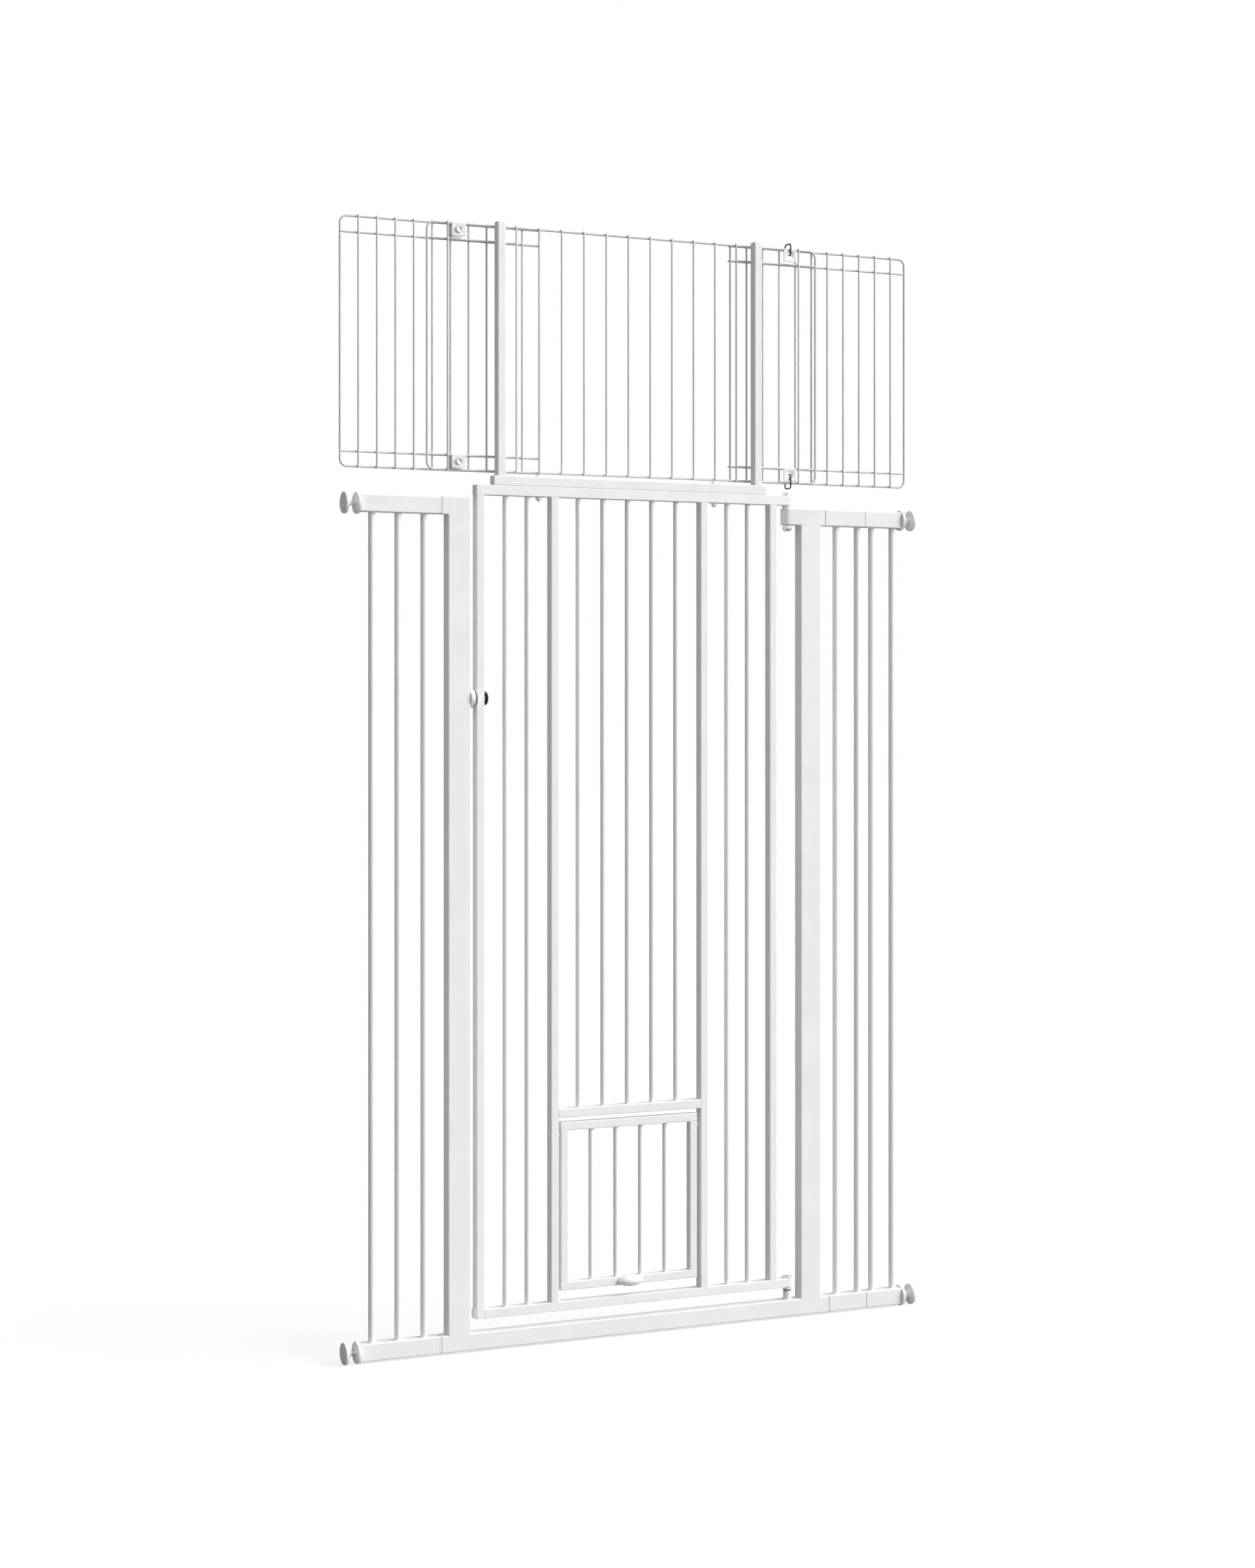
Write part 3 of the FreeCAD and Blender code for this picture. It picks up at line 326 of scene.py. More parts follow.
PLASTIC = finish("white_plastic", (0.83, 0.835, 0.84), (0.87, 0.872, 0.872), 0.42, 0.52,
                 grain=0.35 * MM, relief=0.008 * MM)
SPIGOT_REACH = 12 * MM
SPIGOT_SUNK = 2.6 * MM
SPIGOT_CORNER = 1.2 * MM
COLLAR_GAP = 0.45 * MM
COLLAR_SUNK = 0.5 * MM
COLLAR_CORNER = 2 * MM
COLLAR_EDGE = 0.3 * MM

stacks = []
for level, left_end, right_end in (("top", "frame_left_stub", "frame_hinge_arm"),
                                   ("bottom", "frame_bottom_rail", "frame_bottom_rail")):
    low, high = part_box(f"left_extension_{level}_rail")
    collar_x, stub_x = high.x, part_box(left_end)[0].x
    for start_x, end_x in ((collar_x, stub_x),
                           (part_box(right_end)[1].x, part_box(f"right_extension_{level}_rails")[0].x),
                           (RIGHT_SEAM_X[level], RIGHT_SEAM_X[level] + RIGHT_SEAM)):
        stacks.append(tube_rings(Vector((start_x - SPIGOT_REACH, low.y + SPIGOT_SUNK, low.z + SPIGOT_SUNK)),
                                 Vector((end_x + SPIGOT_REACH, high.y - SPIGOT_SUNK, high.z - SPIGOT_SUNK)),
                                 SPIGOT_CORNER))
    collar_low = Vector((collar_x + COLLAR_GAP, low.y + COLLAR_SUNK, low.z + COLLAR_SUNK))
    collar_high = Vector((stub_x - COLLAR_GAP, high.y - COLLAR_SUNK, high.z - COLLAR_SUNK))
    stacks.append(box_rings(collar_low, collar_high, 0, COLLAR_CORNER,
                            sawn_ends(collar_high.x - collar_low.x, COLLAR_EDGE)))
collars = loft("seam_collars", stacks, PLASTIC)
fit(collars, "frame", "white_plastic", "joint_collars")


# ======================================================================= extension bars
# Round steel tubes, 12 mm across, cut square and butt-welded between the top and bottom rails of each
# extension: three on the left, four on the right. They are coated with the rails.

EXTENSION_BAR = 12 * MM
BAR_SIDES = 40


def coated_geometry(tree, given, result, geometry):
    """The end of a tree: its instances made real, in the finish that it was given."""
    real = add_node(tree, "GeometryNodeRealizeInstances", {0: geometry})
    coated = add_node(tree, "GeometryNodeSetMaterial",
                      {"Geometry": real.outputs[0], "Material": given["Finish"]})
    tree.links.new(coated.outputs[0], result["Geometry"])
    return tree


def run_tree():
    """A round section led along every run of the path, with ends closed and optional lumps."""
    tree, given, result = new_tree(
        "round_run", "GeometryNodeTree",
        (("Path", "Geometry"), ("Thickness", "Float", 0.01), ("Sides", "Int", 24),
         ("Lump Height", "Float", 0.0), ("Lump Size", "Float", 0.002), ("Seed", "Float", 0.0),
         ("Finish", "Material")),
        (("Geometry", "Geometry"),))
    curve = add_node(tree, "GeometryNodeMeshToCurve", {"Mesh": given["Path"]})
    ring = add_node(tree, "GeometryNodeCurvePrimitiveCircle",
                    {"Resolution": given["Sides"],
                     "Radius": reckon(tree, "MULTIPLY", given["Thickness"], 0.5)})
    skin = add_node(tree, "GeometryNodeCurveToMesh",
                    {"Curve": curve.outputs["Curve"], "Profile Curve": ring.outputs["Curve"],
                     "Fill Caps": True})
    noise = add_node(tree, "ShaderNodeTexNoise", noise_dimensions="4D")
    set_inputs(tree, noise, {"Scale": reckon(tree, "DIVIDE", 1, given["Lump Size"]), "W": given["Seed"]})
    centred = reckon(tree, "SUBTRACT", noise.outputs["Fac"], 0.5)
    height = reckon(tree, "MULTIPLY", centred, given["Lump Height"])
    normal = add_node(tree, "GeometryNodeInputNormal")
    push = add_node(tree, "ShaderNodeVectorMath", {0: normal.outputs[0], "Scale": height}, operation="SCALE")
    moved = add_node(tree, "GeometryNodeSetPosition",
                     {"Geometry": skin.outputs["Mesh"], "Offset": push.outputs[0]})
    return coated_geometry(tree, given, result, moved.outputs[0])


RUN_TREE = run_tree()


def paths(lines, closed=False):
    """A mesh of loose edges that holds one line, or closed ring, for each run."""
    points, edges = [], []
    for line in lines:
        first = len(points)
        points += [tuple(point) for point in line]
        edges += [(first + k, first + k + 1) for k in range(len(line) - 1)]
        if closed:
            edges.append((len(points) - 1, first))
    mesh = bpy.data.meshes.new("path")
    mesh.from_pydata(points, edges, [])
    return mesh


def grown(name, source, tree, values, sharp=50):
    """The plain mesh that a tree makes from a source mesh, its inputs set by identifier."""
    holder = bpy.data.objects.new("source", source)
    bpy.context.scene.collection.objects.link(holder)
    modifier = holder.modifiers.new("grow", "NODES")
    modifier.node_group = tree
    for item in tree.interface.items_tree:
        if item.item_type == "SOCKET" and item.in_out == "INPUT" and item.name in values:
            modifier[item.identifier] = values[item.name]
    bpy.context.view_layer.update()
    mesh = bpy.data.meshes.new_from_object(holder.evaluated_get(bpy.context.evaluated_depsgraph_get()))
    bpy.data.objects.remove(holder)
    shape = bmesh.new()
    shape.from_mesh(mesh)
    bmesh.ops.recalc_face_normals(shape, faces=shape.faces)
    shape.to_mesh(mesh)
    shape.free()
    mesh.name = name
    shade(mesh, sharp)
    return new_piece(name, mesh, None)


def upright_bars(name, body, node, places, thick, sides=BAR_SIDES):
    """Upright round bars at given places along the gate, as tall as their node."""
    low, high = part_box(node)
    lines = [[Vector((x, 0, low.z)), Vector((x, 0, high.z))] for x in places]
    bars = grown(name, paths(lines), RUN_TREE, {"Thickness": thick, "Sides": sides, "Finish": POWDER_COAT})
    fit(bars, body, "white_powder_coat", node)


def even_places(node, count, thick):
    """Places of bars spaced evenly over a node's width."""
    low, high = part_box(node)
    first, last = low.x + thick / 2, high.x - thick / 2
    return [first + (last - first) * k / (count - 1) for k in range(count)]


LEFT_BARS = even_places("left_extension_bars", 3, EXTENSION_BAR)
RIGHT_BARS = [place * MM for place in (406, 452, 483, 527.8)]
upright_bars("left_side_bars", "frame", "left_extension_bars", LEFT_BARS, EXTENSION_BAR)
upright_bars("right_side_bars", "frame", "right_extension_bars", RIGHT_BARS, EXTENSION_BAR)


# ======================================================================= weld beads of the frame
# Each bar stands in a thin ring of weld at both ends, laid by hand before coating, so it is a little
# uneven under the paint. Short runs close the inner corners of the square tubes.

BEAD = {"Thickness": 1.5 * MM, "Sides": 8, "Lump Height": 0.5 * MM, "Lump Size": 1.6 * MM}
BEAD_STEP = 1.2 * MM
RING_CLEAR = 0.25 * MM


def weld_rings(node, places, thick):
    """A ring round the foot and the head of each bar of a node."""
    radius = thick / 2 + RING_CLEAR
    turns = [math.radians(15 * k) for k in range(24)]
    low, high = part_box(node)
    return [[Vector((x + radius * math.cos(turn), radius * math.sin(turn), z)) for turn in turns]
            for x in places for z in (low.z, high.z)]


def weld_run(x, reach, z):
    """A run across the tube's depth, in small steps so that its lumps have points to move."""
    start, end = Vector((x, -reach, z)), Vector((x, reach, z))
    steps = max(int((end - start).length / BEAD_STEP), 2)
    return [start.lerp(end, k / steps) for k in range(steps + 1)]


def weld(name, body, lines, seed, closed=False):
    """Uneven weld along every line, under the coat."""
    beads = grown(name, paths(lines, closed), RUN_TREE, {**BEAD, "Seed": seed, "Finish": POWDER_COAT})
    fit(beads, body, "white_powder_coat")


rings = weld_rings("left_extension_bars", LEFT_BARS + RIGHT_BARS, EXTENSION_BAR)
weld("frame_weld_rings", "frame", rings, 3.0, closed=True)
runs = []
for node in ("frame_left_upright", "frame_right_upright"):
    low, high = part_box(node)
    levels = [low.z, high.z] if node == "frame_right_upright" else [low.z]
    runs += [weld_run(x, high.y - 2 * MM, z) for x in (high.x, low.x) for z in levels]
weld("frame_weld_runs", "frame", runs, 4.0)


# ======================================================================= end plugs
# White plastic plugs close the tubes: four at the rails' outer ends, which guide the tension screws,
# and a thin cap on the left upright.

PLUG_LIP = 2 * MM
CAP_TALL = 1.5 * MM
PLUG_EDGE = 0.6 * MM


def flat_cap(low, high, along, outward, corner, edge):
    """Rings of a thin cap that fills a box, from the face that it sits on to its soft outer edge."""
    thick = high[along] - low[along]
    levels = [(0, 0.5 * MM), (0, 0.1 * MM), *sawn_ends(thick, edge)[-4:]]
    if outward < 0:
        levels = [(thick - distance, inset) for distance, inset in levels]
    return box_rings(low, high, along, corner, levels)


stacks = []
for level in ("top", "bottom"):
    low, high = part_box(f"left_extension_{level}_rail")
    stacks.append(box_rings(low - Vector((PLUG_LIP, 0, 0)), Vector((low.x, high.y, high.z)), 0, TUBE_CORNER,
                            sawn_ends(PLUG_LIP, PLUG_EDGE)))
    low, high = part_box(f"right_extension_{level}_rails")
    stacks.append(box_rings(Vector((high.x, low.y, low.z)), high + Vector((PLUG_LIP, 0, 0)), 0, TUBE_CORNER,
                            sawn_ends(PLUG_LIP, PLUG_EDGE)))
low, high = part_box("frame_left_upright")
stacks.append(flat_cap(Vector((low.x, low.y, high.z)), high + Vector((0, 0, CAP_TALL)), 2, 1, TUBE_CORNER,
                       PLUG_EDGE))
plugs = loft("tube_end_plugs", stacks, PLASTIC)
fit(plugs, "frame", "white_plastic", "frame_end_plugs")


# ======================================================================= tension screws
# Four M8 threaded steel rods, zinc plated. Each slides in its end plug and carries a wall pad; the
# thread has a pitch of 1.25 mm.

ZINC = finish("zinc_plate", (0.80, 0.81, 0.83), (0.90, 0.90, 0.90), 0.24, 0.38, grain=0.25 * MM,
              relief=0.004 * MM, mottle=4 * MM, speck_share=0.1, metal=0.7)
M8_THREAD = {"Pitch": 1.25 * MM, "Core Radius": 3.3 * MM, "Ridge": 0.45 * MM, "Finish": ZINC}
THREADED = 46 * MM
THREAD_FROM_TIP = 4 * MM


def thread_tree():
    """A rolled thread: a ridge that winds round a core, set at every point of the source."""
    tree, given, result = new_tree(
        "screw_thread", "GeometryNodeTree",
        (("Starts", "Geometry"), ("Length", "Float", 0.04), ("Pitch", "Float", 0.00125),
         ("Core Radius", "Float", 0.0033), ("Ridge", "Float", 0.0004), ("Steps Per Turn", "Int", 20),
         ("Turn", "Vector"), ("Finish", "Material")),
        (("Geometry", "Geometry"),))
    helix = add_node(tree, "GeometryNodeCurveSpiral",
                     {"Resolution": given["Steps Per Turn"], "Height": given["Length"],
                      "Rotations": reckon(tree, "DIVIDE", given["Length"], given["Pitch"]),
                      "Start Radius": given["Core Radius"], "End Radius": given["Core Radius"]})
    ridge = add_node(tree, "GeometryNodeCurvePrimitiveCircle", {"Resolution": 6, "Radius": given["Ridge"]})
    wound = add_node(tree, "GeometryNodeCurveToMesh",
                     {"Curve": helix.outputs["Curve"], "Profile Curve": ridge.outputs["Curve"],
                      "Fill Caps": True})
    core = add_node(tree, "GeometryNodeMeshCylinder",
                    {"Vertices": 24, "Radius": given["Core Radius"], "Depth": given["Length"]})
    lift = add_node(tree, "ShaderNodeCombineXYZ", {"Z": reckon(tree, "MULTIPLY", given["Length"], 0.5)})
    raised = add_node(tree, "GeometryNodeTransform",
                      {"Geometry": core.outputs["Mesh"], "Translation": lift.outputs[0]})
    both = add_node(tree, "GeometryNodeJoinGeometry", {0: wound.outputs["Mesh"]})
    tree.links.new(raised.outputs[0], both.inputs[0])
    starts = add_node(tree, "GeometryNodeMeshToPoints", {"Mesh": given["Starts"]})
    copies = add_node(tree, "GeometryNodeInstanceOnPoints",
                      {"Points": starts.outputs[0], "Instance": both.outputs[0], "Rotation": given["Turn"]})
    return coated_geometry(tree, given, result, copies.outputs[0])


THREAD_TREE = thread_tree()
CORNERS = [(f"{level}_{side}", sign) for level in ("top", "bottom")
           for side, sign in (("left", -1), ("right", 1))]


def dots(places):
    """A mesh of loose points, for a tree that sets something at each of them."""
    mesh = bpy.data.meshes.new("dots")
    mesh.from_pydata([tuple(place) for place in places], [], [])
    return mesh


for corner, side in CORNERS:
    low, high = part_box(f"tension_rod_{corner}")
    tip_x = low.x if side < 0 else high.x
    start = (tip_x - side * THREAD_FROM_TIP, 0, (low.z + high.z) / 2)
    rod = grown(f"screw_{corner}", dots([start]), THREAD_TREE,
                {**M8_THREAD, "Length": THREADED, "Turn": (0, math.radians(-90 * side), 0)})
    fit(rod, f"mount_{corner}", "zinc_steel", f"tension_rod_{corner}")


# ======================================================================= hand nuts
# White moulded wheels, 38 mm across, turned by hand against the end plugs. The rim has shallow grip
# ribs and the outer face a raised hub round the screw.

# here and below, turned profiles and the sizes that they use are in millimetres, without MM
NUT_SIDES = 72
GRIP_RIBS = 44
RIB_RADIUS = 0.45


def turned(name, profile, centre, direction, material, sides=64, sharp=35):
    """A piece turned on a lathe: (distance, radius) pairs in millimetres, led round a line."""
    direction = Vector(direction).normalized()
    across = direction.orthogonal().normalized()
    other = direction.cross(across)
    turns = [2 * math.pi * k / sides for k in range(sides)]
    rings = []
    for distance, radius in profile:
        heart = Vector(centre) + direction * (distance * MM)
        reach = radius * MM
        rings.append([heart + across * (reach * math.cos(turn)) + other * (reach * math.sin(turn))
                      for turn in turns])
    return loft(name, [rings], material, sharp)


def soft_edge(distance, radius, edge, facing, steps=4):
    """Quarter-round between a face at a distance and a rim; facing -1 starts at the face."""
    turns = [math.radians(90 * k / steps) for k in range(steps + 1)]
    arc = [(distance + edge * (1 - math.sin(a)), radius - edge * (1 - math.cos(a))) for a in turns]
    return arc[::-1] if facing < 0 else [(2 * distance - d, r) for d, r in arc]


def rib_tree():
    """Thin ribs set round a rim, each along the wheel's own line."""
    tree, given, result = new_tree(
        "grip_ribs", "GeometryNodeTree",
        (("Anchor", "Geometry"), ("Count", "Int", 40), ("Rim Radius", "Float", 0.018),
         ("Rib Radius", "Float", 0.0005), ("Rib Length", "Float", 0.004), ("Finish", "Material")),
        (("Geometry", "Geometry"),))
    rim = add_node(tree, "GeometryNodeMeshCircle",
                   {"Vertices": given["Count"], "Radius": given["Rim Radius"]})
    rib = add_node(tree, "GeometryNodeMeshCylinder",
                   {"Vertices": 10, "Radius": given["Rib Radius"], "Depth": given["Rib Length"]})
    copies = add_node(tree, "GeometryNodeInstanceOnPoints",
                      {"Points": rim.outputs[0], "Instance": rib.outputs["Mesh"]})
    wheel = add_node(tree, "GeometryNodeTransform",
                     {"Geometry": copies.outputs[0], "Rotation": (0, math.radians(90), 0)})
    anchors = add_node(tree, "GeometryNodeMeshToPoints", {"Mesh": given["Anchor"]})
    placed = add_node(tree, "GeometryNodeInstanceOnPoints",
                      {"Points": anchors.outputs[0], "Instance": wheel.outputs[0]})
    return coated_geometry(tree, given, result, placed.outputs[0])


RIB_TREE = rib_tree()

for corner, side in CORNERS:
    low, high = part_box(f"hand_nut_{corner}")
    thick = (high.x - low.x) / MM
    rim = (high.z - low.z) / 2 / MM - RIB_RADIUS
    centre = Vector((high.x if side < 0 else low.x, 0, (low.z + high.z) / 2))
    profile = [(0, rim - 3), (0, rim - 0.9), *soft_edge(0, rim, 0.6, -1), *soft_edge(thick, rim, 0.5, 1),
               (thick, rim - 0.9), (thick, rim - 2.2), (thick - 0.35, rim - 2.8), (thick - 0.35, 8.6),
               (thick - 0.25, 8.2), (thick - 0.05, 7.9), (thick, 7.5), (thick, 4.6), (thick - 0.4, 4.1)]
    wheel = turned(f"wheel_{corner}", profile, centre, (side, 0, 0), PLASTIC, NUT_SIDES)
    fit(wheel, f"nut_{corner}", "white_plastic", f"hand_nut_{corner}")
    anchor = centre + Vector((side * thick / 2 * MM, 0, 0))
    ribs = grown(f"wheel_ribs_{corner}", dots([anchor]), RIB_TREE,
                 {"Count": GRIP_RIBS, "Rim Radius": (rim - 0.1) * MM, "Rib Radius": RIB_RADIUS * MM,
                  "Rib Length": (thick - 1.8) * MM, "Finish": PLASTIC})
    fit(ribs, f"nut_{corner}", "white_plastic")


# ======================================================================= wall pads
# A white plastic cup with a hub that holds the screw, faced with a soft rubber disc that grips the
# wall. The rubber has three low rings moulded in its face.

RUBBER = finish("pad_rubber", (0.80, 0.80, 0.795), (0.84, 0.84, 0.835), 0.62, 0.78, grain=0.3 * MM,
                relief=0.02 * MM, mottle=8 * MM)
GRIP_RINGS = (6.5, 10.5, 14.5)

for corner, side in CORNERS:
    low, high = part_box(f"wall_pad_{corner}")
    rim = (high.z - low.z) / 2 / MM
    wall = (low.x if side < 0 else high.x, 0, (low.z + high.z) / 2)
    inward = (-side, 0, 0)
    cup = [(0.9, 10), (0.9, rim - 1.1), (0.5, rim - 0.9), (0.4, rim - 0.5), (0.6, rim - 0.1), (0.9, rim),
           *soft_edge(5.5, rim, 0.7, 1), (5.5, rim - 1.2), (5.5, 7.9), (5.6, 7.2), (6, 6.7), (6.6, 6.5),
           (12.7, 6.4), (13.2, 6.2), (13.5, 5.7), (13.5, 4.6), (12.9, 4.05)]
    pad_cup = turned(f"pad_cup_{corner}", cup, wall, inward, PLASTIC)
    fit(pad_cup, f"mount_{corner}", "white_plastic", f"wall_pad_{corner}")
    disc = [(0.5, 2), (0.5, 4)]
    for ring in GRIP_RINGS:
        disc += [(0.5, ring - 0.9), (0.12, ring - 0.5), (0, ring), (0.12, ring + 0.5), (0.5, ring + 0.9)]
    disc += [(0.5, rim - 2.2), (0.6, rim - 1.4), (0.8, rim - 1.2), (1.1, rim - 1.2)]
    pad_face = turned(f"pad_face_{corner}", disc, wall, inward, RUBBER)
    fit(pad_face, f"mount_{corner}", "pad_rubber")


# ======================================================================= hinge bushes
# The upper bush is pressed into the arm. The lower one is a turned sleeve that stands on the bottom
# rail and takes the weight of the door.

SLEEVE = 7.5
SLEEVE_FOOT_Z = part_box("frame_bottom_rail")[1].z

sleeve = [(0, SLEEVE), (1, SLEEVE), (11.6, SLEEVE), (11.9, SLEEVE - 0.5), (12.8, SLEEVE - 0.5),
          (13.1, SLEEVE), (15.5, SLEEVE), (15.9, SLEEVE - 0.4), (16, SLEEVE - 1), (16, 5.2)]
lower_bush = turned("hinge_sleeve", sleeve, (HINGE_X, 0, SLEEVE_FOOT_Z), (0, 0, 1), PLASTIC)
arm_bush = [(0, 5.2), (0, 6.6), (0.3, 6.9), (29.7, 6.9), (30, 6.6), (30, 5.2)]
upper_bush = turned("hinge_arm_bush", arm_bush, (HINGE_X, 0, arm_low.z), (0, 0, 1), PLASTIC)
fit(lower_bush, "frame", "white_plastic", "frame_hinge_bushes")
fit(upper_bush, "frame", "white_plastic")


# ======================================================================= latch keeper
# A white moulded boss screwed on the left upright. Its rim is well rounded, and the latch bolt drops
# into the plain hole in its middle.

KEEPER_RADIUS = 16.5

low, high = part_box("latch_keeper")
LATCH_Z = (low.z + high.z) / 2
boss = [(0, KEEPER_RADIUS - 0.6), (0.3, KEEPER_RADIUS - 0.1), (0.8, KEEPER_RADIUS),
        *soft_edge(9.4, KEEPER_RADIUS, 4, 1, steps=8), (9.4, 9), (9.3, 8.6), (9.05, 8.2), (9.05, 5.2),
        (8.9, 4.8), (8.5, 4.55), (3.9, 4.5), (3.8, 4.2)]
keeper = turned("keeper_boss", boss, (low.x, 0, LATCH_Z), (1, 0, 0), PLASTIC, 96)
fit(keeper, "frame", "white_plastic", "latch_keeper")


# ======================================================================= door leaf
# Lighter tube than the frame's, 15 mm wide and 20 mm deep, welded into a leaf with two mullions and a
# cross rail over the cat door. The top and bottom rails run on to the hinge line and end half round.

DOOR_CORNER = 1.4 * MM
DOOR_RAIL_EDGE = 1.1 * MM


def door_tubes(old_word, new_word, body, *nodes):
    """One square tube for each node, named after it."""
    for node in nodes:
        tube = loft(node.replace(old_word, new_word), [tube_rings(*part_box(node), DOOR_CORNER)], POWDER_COAT)
        fit(tube, body, "white_powder_coat", node)


door_tubes("door", "leaf", "door", "door_left_stile", "door_right_stile", "door_left_mullion",
           "door_right_mullion", "door_cross_rail")
for node in ("door_top_rail", "door_bottom_rail"):
    square_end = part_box(node)[0].x
    rail = loft(node.replace("door", "leaf"), [half_round_rail(node, HINGE_X, square_end, DOOR_RAIL_EDGE)],
                POWDER_COAT)
    fit(rail, "door", "white_powder_coat", node)


# ======================================================================= door bars
# Round steel bars, 10 mm across, welded between the door's rails: two on the left, five over the cat
# door and two on the right.

DOOR_BAR = 10 * MM
DOOR_BARS = {"door_left_bars": 2, "door_centre_bars": 5, "door_right_bars": 2}

for node, count in DOOR_BARS.items():
    upright_bars(node.replace("door", "leaf"), "door", node, even_places(node, count, DOOR_BAR), DOOR_BAR)


# ======================================================================= weld beads of the door
# A ring of weld at both ends of every bar, and a short run in every corner where a stile or mullion
# meets a rail. They lie under the coat, like those of the frame.

rings = []
for node, count in DOOR_BARS.items():
    rings += weld_rings(node, even_places(node, count, DOOR_BAR), DOOR_BAR)
weld("door_weld_rings", "door", rings, 11.0, closed=True)
runs = []
foot_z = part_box("door_bottom_rail")[1].z
for node in ("door_left_stile", "door_right_stile", "door_left_mullion", "door_right_mullion"):
    low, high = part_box(node)
    # the left stile's outer side has no rail to meet
    sides = [high.x] if node == "door_left_stile" else [high.x, low.x]
    runs += [weld_run(x, high.y - 1.6 * MM, z) for x in sides for z in (foot_z, high.z)]
low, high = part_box("door_cross_rail")
runs += [weld_run(x, high.y - 1.6 * MM, z) for x in (low.x, high.x) for z in (low.z, high.z)]
weld("door_weld_runs", "door", runs, 12.0)


# ======================================================================= door caps
# White plastic: a thin cap on the open end of the top rail, a shoe at the foot of the left stile and a
# cap on each post of the topper.

RAIL_CAP_THICK = 1.4 * MM
SHOE_THICK = 2.4 * MM
SHOE_TALL = 18 * MM
SHOE_HALF_DEEP = 9 * MM
SHOE_CORNER = 3 * MM

rail_low, rail_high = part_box("door_top_rail")
stile_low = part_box("door_left_stile")[0]
caps = [flat_cap(rail_low - Vector((RAIL_CAP_THICK, 0, 0)), Vector((rail_low.x, rail_high.y, rail_high.z)),
                 0, -1, DOOR_CORNER, 0.5 * MM),
        flat_cap(Vector((stile_low.x - SHOE_THICK, -SHOE_HALF_DEEP, stile_low.z)),
                 Vector((stile_low.x, SHOE_HALF_DEEP, stile_low.z + SHOE_TALL)),
                 0, -1, SHOE_CORNER, 0.7 * MM)]
for node in ("topper_left_post", "topper_right_post"):
    low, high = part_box(node)
    caps.append(flat_cap(Vector((low.x, low.y, high.z)), high + Vector((0, 0, CAP_TALL)),
                         2, 1, DOOR_CORNER, 0.55 * MM))
leaf_caps = loft("leaf_caps", caps, PLASTIC)
fit(leaf_caps, "door", "white_plastic", "door_caps")


# ======================================================================= hinge bolts
# The door hangs on an M10 hexagon bolt with a lock nut under the arm, and stands on a button-headed
# bolt in the bottom rail. Both are zinc plated.

M10_FLATS = 17
M10_HEAD = [(0, 7.9), (0.3, 8.1), (0.5, 8.3), (0.9, 9.3), (1.5, 9.8), (4.6, 9.8), (5.4, 9.35), (6, 8.6),
            (6.3, 7.8), (6.4, 7), (6.4, 6), (6.2, 5.6), (6.2, 1)]
M10_NUT = [(0, 5.3), (0, 6.4), (0.4, 7.2), (1.2, 7.9), (2.6, 8.3), (3.1, 8.6), (4, 9.4), (5, 9.8), (9, 9.8),
           (9.6, 9.2), (10, 8.5), (10, 5.3)]
M10_THREAD = {"Pitch": 1.5 * MM, "Core Radius": 4.2 * MM, "Ridge": 0.5 * MM, "Finish": ZINC}
NUT_BELOW_ARM = 10.4 * MM
BOLT_PAST_NUT = 1.1 * MM
PIN_RADIUS = 5


def hexagon_rings(flats, levels, x, base_z):
    """Rings of an upright bolt head or nut: (height, radius) pairs in millimetres cut its corners."""
    rings = []
    for height, limit in levels:
        ring = []
        for k in range(96):
            angle = 2 * math.pi * k / 96
            off_flat = (math.degrees(angle) + 30) % 60 - 30
            radius = min(flats / 2 / math.cos(math.radians(off_flat)), limit) * MM
            heading = angle + math.radians(30)
            ring.append(Vector((x + radius * math.cos(heading), radius * math.sin(heading),
                                base_z + height * MM)))
        rings.append(ring)
    return rings


nut_z = arm_low.z - NUT_BELOW_ARM
bolt_heads = loft("hinge_bolt_and_nut", [hexagon_rings(M10_FLATS, M10_HEAD, HINGE_X, rail_high.z),
                                         hexagon_rings(M10_FLATS, M10_NUT, HINGE_X, nut_z)], ZINC, 25)
fit(bolt_heads, "door", "zinc_steel", "hinge_bolts")
bolt_end = grown("hinge_bolt_thread", dots([(HINGE_X, 0, nut_z - BOLT_PAST_NUT)]), THREAD_TREE,
                 {**M10_THREAD, "Length": 6 * MM})
fit(bolt_end, "door", "zinc_steel")

low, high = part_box("door_bottom_rail")
button = [(0, 8.6), (0.3, 8.8), *soft_edge(4.4, 8.8, 2.2, 1, steps=6), (4.4, 3.5), (4.2, 3.1), (2.2, 3),
          (2.2, 1)]
button_head = turned("hinge_button_head", button, (HINGE_X, 0, high.z), (0, 0, 1), ZINC)
fit(button_head, "door", "zinc_steel")
pin_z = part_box("hinge_bolts")[0].z
pin_tall = (low.z - pin_z) / MM
pin = [(0, PIN_RADIUS - 0.6), (0.5, PIN_RADIUS), (pin_tall - 0.5, PIN_RADIUS), (pin_tall, PIN_RADIUS)]
hinge_pin = turned("hinge_pin", pin, (HINGE_X, 0, pin_z), (0, 0, 1), ZINC)
fit(hinge_pin, "door", "zinc_steel")


# ======================================================================= hinge spacers
# A nylon spacer carries the top rail over the arm. Below, a black seal ring and a nylon ring turn on
# the sleeve.

BLACK = finish("black_plastic", (0.006, 0.006, 0.007), (0.012, 0.012, 0.013), 0.24, 0.34, grain=0.2 * MM,
               relief=0.003 * MM, mottle=10 * MM, speck_share=0.02, shine=0.3)
WASHER_BORE = 5.1


